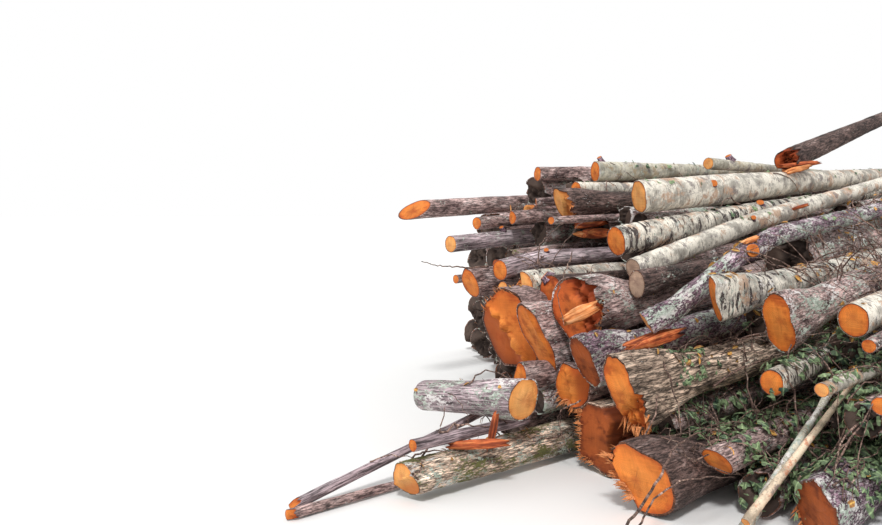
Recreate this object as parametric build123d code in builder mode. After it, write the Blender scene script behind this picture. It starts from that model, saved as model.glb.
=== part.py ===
from build123d import *
import math
import os
from dataclasses import dataclass

import numpy as np

# Driving dimensions, in millimetres and degrees
POLE_LENGTH = 2600.0  # lengths that the logs are cut to
SHORT_LENGTH = 3000.0
MEDIUM_LENGTH = 3600.0
USUAL_LENGTH = 4200.0
LONG_LENGTH = 4800.0
BIRCH_LENGTH = 5400.0
ROW_SPACING = 470.0  # hidden logs of one layer, from middle to middle
GROUND_BUTT = 410.0  # front ends of the hidden logs, layer by layer
SECOND_BUTT = 400.0
THIRD_BUTT = 400.0
FOURTH_BUTT = 360.0
BACK_TOP = 460.0  # back ends of the lower hidden logs
BACK_LINE = 3550.0  # where the hidden logs end at the back, from the middle of the plan
REST_GAP = 0.5  # space left between two logs where one lies on the other
BEND_RADIUS = 400.0  # of the axis of a bent log
CUT_ROOM = 10.0  # how much longer a log is made before its oblique cut
BEND_ROOM = 3.0  # kept free round a bend, where the axis rounds its corner
STEEP_LEAN = 35.0  # lean of the oblique cuts, from square
SLIGHT_LEAN = 22.0


@dataclass
class Log:
    """One log: the plan position and heading of its butt, and its own sizes."""

    node: str
    x: float
    y: float
    heading: float
    length: float
    butt: float
    top: float
    settle: float = 0.0  # how far it may slide sideways to bed into a hollow
    bends: tuple = ()  # (share of the length, sideways, upwards) of each bend
    cut: tuple = (0, 0)  # lean of the butt face, and where its foremost edge is, clockwise from the right


def hidden_layer(node, first_y, fronts, butt, top, settle=40):
    """Hidden logs side by side, which all end at the back of the heap."""
    rows = enumerate(fronts)
    return [
        Log(node, front, first_y + row * ROW_SPACING, 0, BACK_LINE - front, butt, top, settle)
        for row, front in rows
    ]


# The logs in the order in which they are laid, from the ground up
LOGS = [
    # Logs that lie on the ground
    Log("mossy_ground_log", -2660, -340, 0, POLE_LENGTH, 265, 265, 0),
    Log("hollow_butt_log", -1440, -730, 0, SHORT_LENGTH, 480, 410, 0),
    Log("splintered_ground_log", -1840, -1300, 2, SHORT_LENGTH, 365, 310, 0, cut=(SLIGHT_LEAN, 270)),
    Log("purple_bark_log", -1620, -2040, 6, SHORT_LENGTH, 370, 315, 0, cut=(STEEP_LEAN, 270)),
    Log("right_flank_logs", -1300, -1660, 4, POLE_LENGTH, 250, 210, 0),
    Log("right_flank_logs", -1000, -2470, 5, MEDIUM_LENGTH, 330, 300, 0),
    Log("right_flank_logs", -500, -2850, 4, SHORT_LENGTH, 280, 240, 0),
    Log("ground_layer_logs", -1500, 45, 0, LONG_LENGTH, 320, 380, 0),
    *hidden_layer("ground_layer_logs", 500, (-1050, -650, -200, 100, 300, 600), GROUND_BUTT, BACK_TOP, 0),
    Log("ground_layer_logs", 300, -310, 0, SHORT_LENGTH, 300, 320, 0),
    Log("ground_layer_logs", 2000, -720, 0, 1550, 390, 390, 0),
    Log("ground_layer_logs", 1650, -1180, 0, 1900, 380, 400, 0),
    Log("ground_layer_logs", 1700, -1620, 0, 1850, 380, 380, 0),
    Log("smooth_pole", -2590, -350, 0, 900, 95, 85, 0),
    Log("short_ground_pole", -3260, -165, 1, 1000, 70, 60, 0),
    Log("long_ground_pole", -3200, -85, 2.5, 2050, 80, 65, 0),
    Log("cross_log", -1930, -570, 92, 950, 255, 235, 0, cut=(SLIGHT_LEAN, 300)),
    # Second layer
    Log("inner_front_logs", -1500, -230, 1, LONG_LENGTH, 230, 260, 10),
    Log("lobed_butt_log", -1500, -550, 0, POLE_LENGTH, 250, 220, 60),
    Log("right_flank_logs", -1300, -1020, 1, USUAL_LENGTH, 220, 240, 40),
    Log("low_right_log", -1470, -1560, 2, MEDIUM_LENGTH, 190, 160, 30, cut=(STEEP_LEAN, 270)),
    Log("ridged_bark_log", -1700, -1070, 1, USUAL_LENGTH, 310, 265, 20, cut=(STEEP_LEAN, 270)),
    Log("second_layer_logs", -1250, 280, 0, LONG_LENGTH, 330, 400, 20),
    *hidden_layer("second_layer_logs", 735, (-900, -500, -150, 100, 450), SECOND_BUTT, BACK_TOP),
    Log("small_front_log", -1700, -255, 0, POLE_LENGTH, 165, 155, 40),
    Log("inner_front_logs", -1300, -780, 0, USUAL_LENGTH, 150, 170, 30),
    Log("right_flank_logs", -700, -1880, 3, LONG_LENGTH, 250, 290, 40),
    Log("right_flank_logs", -900, -2250, 4, MEDIUM_LENGTH, 280, 260, 40),
    Log("lichen_branch", -1630, -1765, 0, 1250, 58, 40, 0),
    Log("pale_pole", -1650, -1790, -4, 1300, 65, 45, 0),
    Log("right_flank_logs", 900, -580, 0, SHORT_LENGTH, 240, 260, 40),
    # Third layer, which a log across the heap lifts at the back
    Log("third_layer_logs", 2900, -2450, 90, 2350, 250, 250),
    Log("stepped_cut_log", -1650, 70, 0, MEDIUM_LENGTH, 405, 365, 15, cut=(SLIGHT_LEAN, 270)),
    Log("lichen_log", -1600, -710, 1, USUAL_LENGTH, 275, 250, 10, cut=(STEEP_LEAN, 270)),
    Log("front_middle_log", -1650, -270, 0, USUAL_LENGTH, 275, 235, 20, cut=(SLIGHT_LEAN, 270)),
    Log("large_front_log", -1500, -530, 0, USUAL_LENGTH, 345, 260, 20, cut=(SLIGHT_LEAN, 270)),
    *hidden_layer("third_layer_logs", 500, (-1100, -650, -300, 0, 350), THIRD_BUTT, BACK_TOP - 10),
    Log("right_flank_logs", -350, -1690, 2, USUAL_LENGTH, 180, 200, 40),
    Log("white_birch_pole", -1060, -1650, 3, MEDIUM_LENGTH, 135, 110, 40),
    Log("right_flank_logs", -1050, -2070, 3, MEDIUM_LENGTH, 230, 240, 30),
    Log("thin_right_pole", -1240, -1990, 2, POLE_LENGTH, 90, 80, 30),
    Log("right_low_log", -1150, -2170, 3, POLE_LENGTH, 110, 95, 30),
    Log("right_flank_logs", -400, -1100, 0, USUAL_LENGTH, 220, 280, 40),
    Log("right_flank_logs", -500, -1430, 0, USUAL_LENGTH, 150, 240, 30),
    Log("right_flank_logs", -500, -1790, 1, USUAL_LENGTH, 240, 280, 40),
    Log("right_flank_logs", -600, -2120, 2, MEDIUM_LENGTH, 180, 220, 40),
    Log("right_pole", -840, -2060, 2, SHORT_LENGTH, 100, 90, 40),
    Log("forked_birch_log", -1020, -1200, 1, USUAL_LENGTH, 265, 225, 10, cut=(SLIGHT_LEAN, 330)),
    Log("oval_forked_log", -820, -1500, 1, USUAL_LENGTH, 300, 230, 10, cut=(SLIGHT_LEAN, 270)),
    Log("right_birch_log", -620, -1880, 0, USUAL_LENGTH, 205, 165, 30),
    Log("dark_purple_log", -1220, -80, 0, USUAL_LENGTH, 250, 205, 20),
    Log("split_orange_log", -1500, -900, 0, 1500, 95, 85, 40),
    Log("right_flank_logs", 600, -870, 0, SHORT_LENGTH, 420, 400, 20),
    Log("grey_end_log", -1080, -700, 0, 1450, 165, 150, 20),
    Log("right_flank_logs", 1900, -840, 0, POLE_LENGTH, 190, 190, 30),
    Log("crooked_log", -1400, -960, 0, BIRCH_LENGTH, 150, 150, 20,
        bends=((0.06, 0, 10), (0.2, -15, 205), (0.3, 0, 250), (0.65, -15, 150))),
    Log("inner_front_logs", -450, -280, 0, USUAL_LENGTH, 260, 300, 40),
    # Fourth layer
    Log("oblique_cut_log", -1350, 600, 0, USUAL_LENGTH, 230, 195, 20, cut=(SLIGHT_LEAN, 270)),
    Log("split_birch_log", -1240, 140, 0, MEDIUM_LENGTH, 185, 185, 20, bends=((0.3, 15, 25),)),
    Log("pole_under_curve", -1250, 420, 0, MEDIUM_LENGTH, 130, 115, 60),
    *hidden_layer("fourth_layer_logs", 1200, (-300, -100, 50), FOURTH_BUTT, BACK_TOP - 40),
    Log("low_left_pole", -1230, 980, 0, POLE_LENGTH, 95, 85, 40),
    Log("top_layer_logs", -850, 700, 0, USUAL_LENGTH, 150, 230, 30),
    Log("small_stub_log", -1170, 585, 0, POLE_LENGTH, 95, 85, 60),
    Log("left_log", -1140, 1160, 0, LONG_LENGTH, 170, 135, 40),
    Log("curved_pole", -1250, 420, 0, USUAL_LENGTH, 135, 135, 60, bends=((0.12, 10, 45), (0.3, -15, 30))),
    Log("top_layer_logs", -350, 880, 0, USUAL_LENGTH, 300, 310, 40),
    Log("top_layer_logs", -100, 120, 0, USUAL_LENGTH, 330, 330, 40),
    Log("top_layer_logs", 0, 440, 0, USUAL_LENGTH, 290, 300, 40),
    Log("inner_front_logs", 2200, -560, 0, 1900, 320, 320, 20),
    Log("slender_birch_log", -940, -570, 0, BIRCH_LENGTH, 140, 140, 20, bends=((0.3, 10, 45), (0.6, -10, 15))),
    Log("dark_patched_birch_log", -830, -390, 0, BIRCH_LENGTH, 180, 180, 50, bends=((0.35, -15, 25),)),
    Log("top_layer_logs", -350, 1500, 0, USUAL_LENGTH, 390, 360, 40),
    Log("top_layer_logs", 0, 1930, 0, MEDIUM_LENGTH, 380, 360, 40),
    Log("thin_middle_log", -760, 385, 0, SHORT_LENGTH, 85, 75, 50),
    Log("notched_end_log", -820, 790, 0, USUAL_LENGTH, 140, 110, 50, cut=(SLIGHT_LEAN, 0)),
    Log("left_middle_log", -800, 1130, 0, USUAL_LENGTH, 155, 125, 50),
    Log("top_layer_logs", -350, 600, 0, USUAL_LENGTH, 160, 200, 40),
    Log("top_layer_logs", -50, 190, 0, USUAL_LENGTH, 200, 220, 40),
    Log("top_layer_logs", -300, -130, 0, USUAL_LENGTH, 240, 240, 40),
    # Top layer
    Log("red_end_log", -600, 375, 0, USUAL_LENGTH, 215, 185, 40, cut=(SLIGHT_LEAN, 270)),
    Log("thin_upper_log", -550, 700, 0, MEDIUM_LENGTH, 100, 90, 50, cut=(STEEP_LEAN, 0)),
    Log("sliver_end_log", -570, 945, 0, MEDIUM_LENGTH, 155, 130, 50, cut=(STEEP_LEAN, 0)),
    Log("big_birch_log", -460, -200, 0, BIRCH_LENGTH, 225, 225, 30, bends=((0.5, 12, 20),)),
    Log("wedge_tipped_log", -1240, 1570, 0, LONG_LENGTH, 170, 125, 40, cut=(STEEP_LEAN, 110)),
    Log("top_layer_logs", -50, 1180, 0, USUAL_LENGTH, 330, 300, 40),
    Log("upper_left_log", -510, 900, 0, USUAL_LENGTH, 120, 90, 50),
    Log("top_layer_logs", 0, 750, 0, MEDIUM_LENGTH, 210, 230, 40),
    Log("top_birch_log", -260, 475, 0, USUAL_LENGTH, 115, 85, 50),
    Log("top_left_log", -180, 1120, 0, USUAL_LENGTH, 125, 95, 50),
    Log("top_stubbed_log", 110, 660, 0, MEDIUM_LENGTH, 185, 130, 30, cut=(SLIGHT_LEAN, 0)),
    Log("top_layer_logs", 1200, 150, 0, POLE_LENGTH, 330, 300, 40),
    Log("top_layer_logs", 3900, -1250, 90, 1100, 260, 260),
    Log("back_birch_pole", 1130, 105, 0, POLE_LENGTH, 115, 85, 50),
    Log("back_dark_log", 1870, -235, 0, SHORT_LENGTH, 190, 150, 50),
]


def stations(log):
    """Shares of the length at which a log bends, with its offsets there."""
    shares = np.array([0.0] + [bend[0] for bend in log.bends] + [1.0])
    sideways = np.array([0.0] + [bend[1] for bend in log.bends] + [0.0])
    upwards = np.array([0.0] + [bend[2] for bend in log.bends] + [0.0])
    return shares, sideways, upwards


def radius_at(log, share):
    return (log.butt + (log.top - log.butt) * share) / 2


def balance_share(log):
    """Share of the length at which a tapering log balances."""
    butt, top = log.butt, log.top
    return (butt**2 + 2 * butt * top + 3 * top**2) / (4 * (butt**2 + butt * top + top**2))


class Heap:
    """The axis segments of the logs already laid, each with its radii."""

    def __init__(self):
        self.start = np.zeros((0, 3))
        self.run = np.zeros((0, 3))
        self.radius = np.zeros(0)
        self.taper = np.zeros(0)

    def add(self, points, radii):
        knots = points[1:-1]
        self.start = np.vstack([self.start, points[:-1], knots])
        self.run = np.vstack([self.run, np.diff(points, axis=0), np.zeros_like(knots)])
        self.radius = np.concatenate([self.radius, radii[:-1], radii[1:-1] + BEND_ROOM])
        self.taper = np.concatenate([self.taper, np.diff(radii), np.zeros(len(knots))])

    def near(self, plan, reach):
        """Indices of the segments whose plan boxes come within reach of the given points."""
        if not len(self.radius):
            return np.zeros(0, int)
        reach = reach + self.radius.max() + REST_GAP
        low, high = plan.min(0) - reach, plan.max(0) + reach
        first, last = self.start[:, :2], (self.start + self.run)[:, :2]
        close = (np.maximum(first, last) > low) & (np.minimum(first, last) < high)
        return np.nonzero(close.all(1))[0]

    def surface(self, plan, radii, chosen):
        """Lowest axis height over each plan point at which a ball of that radius clears the heap."""
        if not len(chosen):
            return np.full(len(plan), -np.inf)
        start, run = self.start[chosen], self.run[chosen]
        radius, taper = self.radius[chosen], self.taper[chosen]
        offset = plan[:, None, :] - start[None, :, :2]
        reach = radii[:, None] + REST_GAP + radius[None]
        inside = reach**2 - (offset**2).sum(2)
        slope = reach * taper + (offset * run[None, :, :2]).sum(2)
        square = np.maximum((run[:, :2] ** 2).sum(1) - taper**2, 1e-9)
        peak = np.maximum(inside + slope**2 / square, 0)
        rise = run[:, 2]
        share = slope / square + rise * np.sqrt(peak / (square * (square + rise**2)))
        share = np.clip(share, 0, 1)
        room = inside + 2 * slope * share - square * share**2
        height = start[:, 2] + share * rise + np.sqrt(np.maximum(room, 0))
        return np.where(room > 0, height, -np.inf).max(1)


def resting_line(distance, height, balance):
    """Slope of the lowest straight line over all points that balances there, and its height there."""

    def top(slope):
        return (height - slope * (distance - balance)).max()

    golden = (3 - math.sqrt(5)) / 2
    low, high = -1.0, 1.0
    while high - low > 1e-9:
        step = (high - low) * golden
        if top(low + step) <= top(high - step):
            high = high - step
        else:
            low = low + step
    slope = (low + high) / 2
    return slope, top(slope)


def lay(log, heap, slide, step, pitch, rounds):
    """Rest a log on the heap at a given sideways slide of its two ends."""
    shares, sideways, upwards = stations(log)
    share = np.union1d(np.linspace(0, 1, int(log.length / step) + 1), shares)
    radii = radius_at(log, share) + BEND_ROOM * np.isin(share, shares[1:-1])
    bow = np.interp(share, shares, sideways)
    lift = np.interp(share, shares, upwards)
    heading = math.radians(log.heading)
    along = np.array([math.cos(heading), math.sin(heading)])
    across = np.array([-along[1], along[0]])
    butt = np.array([log.x, log.y])
    shift = slide[0] * (1 - share) + slide[1] * share
    for _ in range(rounds):
        run = log.length * math.cos(pitch)
        plan = butt + np.outer(share * run, along) + np.outer(bow + shift, across)
        chosen = heap.near(plan, max(log.butt, log.top) / 2)
        floor = radii * math.cos(pitch)
        height = np.maximum(heap.surface(plan, radii, chosen), floor)
        balance = balance_share(log) * run
        slope, middle = resting_line(share * run, height - lift, balance)
        pitch = math.atan(slope)
    ends = slide[0] * (1 - shares) + slide[1] * shares
    plan = butt + np.outer(shares * run, along) + np.outer(sideways + ends, across)
    rise = middle + slope * (shares * run - balance) + upwards
    return np.column_stack([plan, rise]), radius_at(log, shares), middle, pitch


def bed(log, heap, first_move=32.0, last_move=0.25, rough=60.0, fine=8.0):
    """Slide a log sideways, end by end, until it lies as low as it can within its reach."""
    slide = [0.0, 0.0]
    if log.settle:
        _, _, lowest, pitch = lay(log, heap, slide, rough, 0.0, 2)
        size = first_move
        moves = ((1, 1), (-1, -1), (1, 0), (-1, 0), (0, 1), (0, -1))
        while size >= last_move:
            moved = False
            for butt_move, top_move in moves:
                trial = [slide[0] + butt_move * size, slide[1] + top_move * size]
                if max(abs(trial[0]), abs(trial[1])) > log.settle:
                    continue
                middle = lay(log, heap, trial, rough, pitch, 1)[2]
                if middle < lowest:
                    lowest, slide, moved = middle, trial, True
                    break
            if not moved:
                size = size / 2
    points, radii, _, _ = lay(log, heap, slide, fine, 0.0, 3)
    heap.add(points, radii)
    return points, radii


def lay_all(logs):
    heap = Heap()
    return [bed(log, heap) for log in logs]


# The laid heap, with its origin at the bottom centre of its own box
laid = lay_all(LOGS)


def box_of(points, radii):
    """Corners of the box around one log's round sections."""
    ways = np.gradient(points, axis=0)
    ways = ways / np.linalg.norm(ways, axis=1)[:, None]
    spread = radii[:, None] * np.sqrt(np.maximum(1 - ways**2, 0))
    return (points - spread).min(0), (points + spread).max(0)


corners = [box_of(points, radii) for points, radii in laid]
low = np.min([corner[0] for corner in corners], axis=0)
high = np.max([corner[1] for corner in corners], axis=0)
ORIGIN = np.array([(low[0] + high[0]) / 2, (low[1] + high[1]) / 2, 0.0])


def across_plane(point, way):
    """Plane square to a log's way, whose X runs level."""
    return Plane(origin=tuple(point), x_dir=(way[1], -way[0], 0), z_dir=tuple(way))


def bent_log(points, radius):
    """Section and axis of a log of even thickness: straight runs joined by rounded bends."""
    with BuildLine() as axis:
        FilletPolyline(*[tuple(point) for point in points], radius=BEND_RADIUS)
    with BuildSketch(Plane(origin=axis.line @ 0, z_dir=axis.line % 0)) as section:
        Circle(radius)
    return section.sketch, axis.line


def straight_log(start, way, length, butt, top):
    level = (Align.CENTER, Align.CENTER, Align.MIN)
    with Locations(across_plane(start, way)):
        if butt == top:
            Cylinder(butt, length, align=level)
        else:
            Cone(butt, top, length, align=level)


def solid_log(log, points, radii):
    """Build one log inside the node that is being built."""
    points = points - ORIGIN
    way = points[1] - points[0]
    length = np.linalg.norm(way)
    way = way / length
    if log.bends:
        section, axis = bent_log(points, radii[0])
        sweep(section, path=axis)
        return
    lean, clock = log.cut
    ahead = radii[0] * math.tan(math.radians(lean)) + CUT_ROOM if lean else 0.0
    widest = radii[0] + (radii[0] - radii[1]) * ahead / length
    straight_log(points[0] - way * ahead, way, length + ahead, widest, radii[1])
    if lean:
        butt = across_plane(points[0], way).location
        face = Plane(butt * Rotation(0, 0, clock) * Rotation(0, lean, 0))
        split(bisect_by=face, keep=Keep.TOP)


os.makedirs("parts", exist_ok=True)
for name in dict.fromkeys(log.node for log in LOGS):
    with BuildPart() as node:
        for log, (points, radii) in zip(LOGS, laid):
            if log.node == name:
                solid_log(log, points, radii)
    node.part.label = name
    export_step(node.part, f"parts/{name}.step")
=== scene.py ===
import itertools
import math
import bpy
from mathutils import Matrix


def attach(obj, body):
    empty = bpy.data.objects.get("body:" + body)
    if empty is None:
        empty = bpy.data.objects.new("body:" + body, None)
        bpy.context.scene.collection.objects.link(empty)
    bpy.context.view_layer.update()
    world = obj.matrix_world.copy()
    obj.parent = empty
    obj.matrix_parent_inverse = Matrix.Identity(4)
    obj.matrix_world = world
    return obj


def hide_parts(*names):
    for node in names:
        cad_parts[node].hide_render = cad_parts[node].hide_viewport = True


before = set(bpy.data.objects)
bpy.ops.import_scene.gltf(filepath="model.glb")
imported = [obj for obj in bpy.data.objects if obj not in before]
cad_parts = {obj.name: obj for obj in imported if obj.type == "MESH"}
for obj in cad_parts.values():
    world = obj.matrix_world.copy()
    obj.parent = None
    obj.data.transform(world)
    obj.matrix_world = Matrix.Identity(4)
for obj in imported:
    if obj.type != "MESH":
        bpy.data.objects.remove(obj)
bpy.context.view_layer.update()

import zlib

import bpy
import numpy as np
from bpy.props import FloatProperty, FloatVectorProperty, IntProperty
from mathutils import Vector

bl_info = {
    "name": "Stack of logs",
    "version": (1, 0, 0),
    "blender": (4, 5, 0),
    "location": "View3D > Sidebar > Logs",
    "description": "Dresses a stack of felled alder and birch logs",
    "category": "Add Mesh",
}

# How a log is read from its solid, in metres
SECTIONS = 60  # number of slices that give its line and its thickness
END_MARGIN = 0.004  # from the ends to the first and the last slice
BEYOND = 1.0  # how far the line is carried on straight past both ends
INSIDE = 0.0015  # the dressed log stays this far inside its solid
OVER_FLOOR = 0.002  # no dressed piece lies lower than this

# How finely a log is meshed, in metres
SHOWN_DETAIL = (0.018, 0.010, 0.058)  # around, first and last ring along the bark
HIDDEN_DETAIL = (0.034, 0.03, 0.13)
RING_GROWTH = 1.045  # from one ring along the bark to the next
FACE_STEP = 0.014  # from one ring on a cut to the next
LEAST_AROUND, MOST_AROUND = 18, 72  # points in one ring

# Rings on a cut, as shares of its radius: the last of wood, the first and the last of bark
WOOD_RING = 0.93
BARK_START = WOOD_RING + 0.012
BARK_END = 0.985
RIM_TUCK = 0.997  # the skin's own first and last ring

# Kinds of ring, and the material slot of each: bark, cut and section of the bark are 0, 1 and 2
WOOD, SECTION, SKIN = 0, 1, 2
SLOT_OF_KIND = np.array([1, 2, 0])

SHALLOWEST = 0.002  # least depth of a sawn or a torn face, in metres
RING_WIDTH = 0.009  # growth rings of the wood, in metres
STUB_LEAN = 0.6  # how far branch stubs point towards the butt
STUB_RINGS = ((0, 1.7), (0.35, 1.35), (0.7, 1.05), (0.98, 1.0), (1.0, 0.9), (1.0, 0.5))  # length, radius

# What the materials read from every corner of a dressed log
LAYERS = ("log_place", "log_tone", "log_edge", "log_deep", "log_chance")

# Seeds of the random draws
SEEDS = {
    "splinters": 11, "splinter_turns": 4, "leaf_spots": 30, "leaves": 70, "leaf_turns": 90,
    "twigs": 200, "twig_spots": 300, "branches": 5, "blocks": 3,
}


# Repeatable noise

def lattice(cells, seed):
    """Even random values from 0 to 1 at whole-numbered cells. The large numbers only mix bits."""
    cells = cells.astype(np.uint64)
    mixed = cells[:, 0] * 374761393 + cells[:, 1] * 668265263 + cells[:, 2] * 2246822519 + seed * 3266489917
    mixed = (mixed ^ (mixed >> np.uint64(15))) & np.uint64(0xFFFFFFFF)
    mixed = (mixed * np.uint64(2654435761)) & np.uint64(0xFFFFFFFF)
    mixed = mixed ^ (mixed >> np.uint64(13))
    return (mixed & np.uint64(0xFFFF)) / 65535


def noise(points, size, seed):
    """Smooth noise from -1 to 1 with features of that size."""
    places = points / size + 1000.0
    cells = np.floor(places)
    share = places - cells
    share = share * share * (3 - 2 * share)
    total = np.zeros(len(points))
    for corner in itertools.product((0, 1), repeat=3):
        weight = np.prod(np.where(corner, share, 1 - share), axis=1)
        total += weight * lattice(cells + corner, seed)
    return total * 2 - 1


def rough(points, size, seed, octaves=3):
    """Noise with finer noise on top."""
    return sum(noise(points, size / 2**k, seed + k) / 1.8**k for k in range(octaves))


def smooth_step(value, low, high):
    """Rises smoothly from 0 at low to 1 at high."""
    share = np.clip((value - low) / (high - low), 0, 1)
    return share * share * (3 - 2 * share)


def seed_of(name):
    """A whole number that is always the same for that name."""
    return zlib.crc32(name.encode()) % 9973


# Rings of points

def full_turn(count):
    """Angles of that many points, evenly round."""
    return np.arange(count) * 2 * math.pi / count


def round_axis(angle, radius, along):
    """Points at that angle and radius round an axis, that far along it."""
    return np.stack([np.cos(angle) * radius, np.sin(angle) * radius, 0 * angle + along], -1)


def closed_skin(count, around):
    """Quads over count rings of points, and triangles to the two end points that follow them."""
    grid = np.arange(count * around).reshape(count, around)
    following = np.roll(grid, -1, axis=1)
    quads = np.stack([grid[:-1], grid[1:], following[1:], following[:-1]], -1).reshape(-1, 4)
    first = np.stack([np.full(around, count * around), grid[0], following[0]], -1)
    last = np.stack([np.full(around, count * around + 1), following[-1], grid[-1]], -1)
    return quads, np.vstack([first, last])


# The shape of each log, read from its solid

def loose_parts(node):
    """The solids of a CAD node, each as (corners, triangles)."""
    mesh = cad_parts[node].data
    corners = np.empty(len(mesh.vertices) * 3)
    mesh.vertices.foreach_get("co", corners)
    corners = corners.reshape(-1, 3)
    mesh.calc_loop_triangles()
    triangles = np.empty(len(mesh.loop_triangles) * 3, int)
    mesh.loop_triangles.foreach_get("vertices", triangles)
    _, first, same = np.unique(np.round(corners, 5), axis=0, return_index=True, return_inverse=True)
    corners, triangles = corners[first], same.ravel()[triangles].reshape(-1, 3)
    label = np.arange(len(corners))
    while True:
        lowest = label[triangles].min(1)
        spread = label.copy()
        for side in range(3):
            np.minimum.at(spread, triangles[:, side], lowest)
        spread = spread[spread]
        if (spread == label).all():
            break
        label = spread
    of_triangle = label[triangles[:, 0]]
    return [(corners, triangles[of_triangle == one]) for one in np.unique(of_triangle)]


def cap_of(corners, triangles, way):
    """Middle, outward direction and corners of the flat end that looks that way."""
    a, b, c = (corners[triangles[:, side]] for side in range(3))
    normals = np.cross(b - a, c - a)
    facing = normals @ way > 0.5 * np.linalg.norm(normals, axis=1)
    outward = normals[facing].sum(0)
    area = np.linalg.norm(normals[facing], axis=1)
    middle = ((a + b + c)[facing] / 3 * area[:, None]).sum(0) / area.sum()
    return middle, outward / np.linalg.norm(outward), corners[triangles[facing].ravel()]


def section(corners, triangles, way, place):
    """Middle and area of the cut through a solid at that place along its way."""
    height = corners @ way - place
    above = height[triangles] > 0
    crossing = triangles[above.any(1) & ~above.all(1)]
    ends = []
    for rising in (True, False):
        point = np.zeros((len(crossing), 3))
        for side in range(3):
            start, stop = crossing[:, side], crossing[:, (side + 1) % 3]
            low, high = height[start], height[stop]
            chosen = ((low <= 0) & (high > 0)) if rising else ((low > 0) & (high <= 0))
            share = (low / np.where(chosen, low - high, 1))[:, None]
            crossed = corners[start] + (corners[stop] - corners[start]) * share
            point = np.where(chosen[:, None], crossed, point)
        ends.append(point)
    origin = ends[0].mean(0)
    one, other = ends[0] - origin, ends[1] - origin
    slices = np.cross(one, other) @ way
    middle = origin + ((one + other) * slices[:, None]).sum(0) / (3 * slices.sum())
    return middle, abs(slices.sum()) / 2


class Stem:
    """The line, the thickness and the two end planes of one log."""

    def __init__(self, corners, triangles):
        used = corners[np.unique(triangles)]
        spread = used - used.mean(0)
        way = np.linalg.eigh(spread.T @ spread)[1][:, -1]
        way = way if way[0] + way[1] > 0 else -way
        self.way = way
        self.butt, self.butt_out, near = cap_of(corners, triangles, -way)
        self.top, self.top_out, far = cap_of(corners, triangles, way)
        first, last = (near @ way).max() + END_MARGIN, (far @ way).min() - END_MARGIN
        places = np.linspace(first, last, SECTIONS)
        cuts = [section(corners, triangles, way, place) for place in places]
        middles = np.array([cut[0] for cut in cuts])
        lean = np.gradient(middles, places, axis=0)
        lean = 1 / np.linalg.norm(lean, axis=1)
        radii = np.sqrt(np.array([cut[1] for cut in cuts]) * lean / math.pi)
        before = middles[0] - (middles[1] - middles[0]) / (places[1] - places[0]) * BEYOND
        after = middles[-1] + (middles[-1] - middles[-2]) / (places[1] - places[0]) * BEYOND
        self.places = np.concatenate([[first - BEYOND], places, [last + BEYOND]])
        self.middles = np.vstack([before, middles, after])
        taper = (radii[-1] - radii[0]) / (last - first) * BEYOND
        self.radii = np.concatenate([[radii[0] - taper], radii, [radii[-1] + taper]])
        self.right = np.cross(way, (0, 0, 1))
        self.right /= np.linalg.norm(self.right)
        self.up = np.cross(self.right, way)
        self.start = self.axis_meets(self.butt, self.butt_out)
        self.stop = self.axis_meets(self.top, self.top_out)
        self.radius = float(np.interp(self.start, self.places, self.radii))
        self.length = self.stop - self.start

    def line(self, place):
        """Points of the log's middle line."""
        return np.stack([np.interp(place, self.places, self.middles[:, k]) for k in range(3)], -1)

    def thickness(self, place):
        """Radius of the log."""
        return np.interp(place, self.places, self.radii)

    def outward(self, angle):
        """Direction off the line, in degrees counter-clockwise from the right towards the top."""
        angle = math.radians(angle)
        return self.right * math.cos(angle) + self.up * math.sin(angle)

    def axis_meets(self, point, outward):
        """Place along the way at which the log's line meets that plane."""
        height = (self.middles - point) @ outward
        crossing = np.nonzero(np.diff(np.sign(height)))[0]
        k = crossing[0] if outward @ self.way < 0 else crossing[-1]
        share = height[k] / (height[k] - height[k + 1])
        return self.places[k] + (self.places[k + 1] - self.places[k]) * share

    def rim_place(self, across, plane_point, outward):
        """Place along the way at which lines offset from the log's line meet an end plane."""
        place = np.full(len(across), self.start if outward @ self.way < 0 else self.stop)
        for _ in range(4):
            point = self.line(place) + across * self.thickness(place)[:, None]
            gap = (point - plane_point) @ outward
            place = place - gap / (self.way @ outward)
        return place


# Bark relief: how deep the bark lies under its highest skin, in metres

def swelling(spot, size, seed, depth, squeeze=0.3, lift=1.6):
    """Broad hollows, drawn out along the log."""
    return (rough(spot * (1, 1, squeeze), size, seed, 2) + lift) * depth


def smooth_relief(spot, radius, seed):
    pores = (rough(spot * (1, 1, 0.3), 0.06, seed + 7, 3) + 1.5) * 0.0022
    return swelling(spot, 0.5, seed, 0.012) * (radius / 0.15) + pores


def ridged_relief(spot, radius, seed):
    furrows = 1 - np.abs(rough(spot * (1, 1, 0.22), 0.045, seed, 2))
    return swelling(spot, 0.5, seed + 5, 0.012) + np.clip(furrows, 0, 1.2) ** 3 * 0.011


def plated_relief(spot, radius, seed):
    cracks = 1 - np.abs(rough(spot * (1, 1, 0.5), 0.06, seed, 3))
    return swelling(spot, 0.45, seed + 5, 0.013) + np.clip(cracks, 0, 1.2) ** 3 * 0.007


def birch_relief(spot, radius, seed):
    scars = smooth_step(rough(spot * (1, 1, 1.6), 0.16, seed + 3, 3), 0.45, 0.8)
    lines = (noise(spot * (1, 1, 2.5), 0.03, seed + 9) + 1) * 0.0012
    return swelling(spot, 0.5, seed, 0.009, 0.35, 1.5) * (radius / 0.1) + scars * 0.004 + lines


def shaggy_relief(spot, radius, seed):
    tufts = rough(spot * (1, 1, 0.7), 0.05, seed, 4)
    return swelling(spot, 0.4, seed + 5, 0.012, 0.35) + (1.8 - tufts) * 0.0055


RELIEFS = {
    "smooth": smooth_relief,
    "ridged": ridged_relief,
    "plated": plated_relief,
    "birch": birch_relief,
    "shaggy": shaggy_relief,
}


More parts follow.
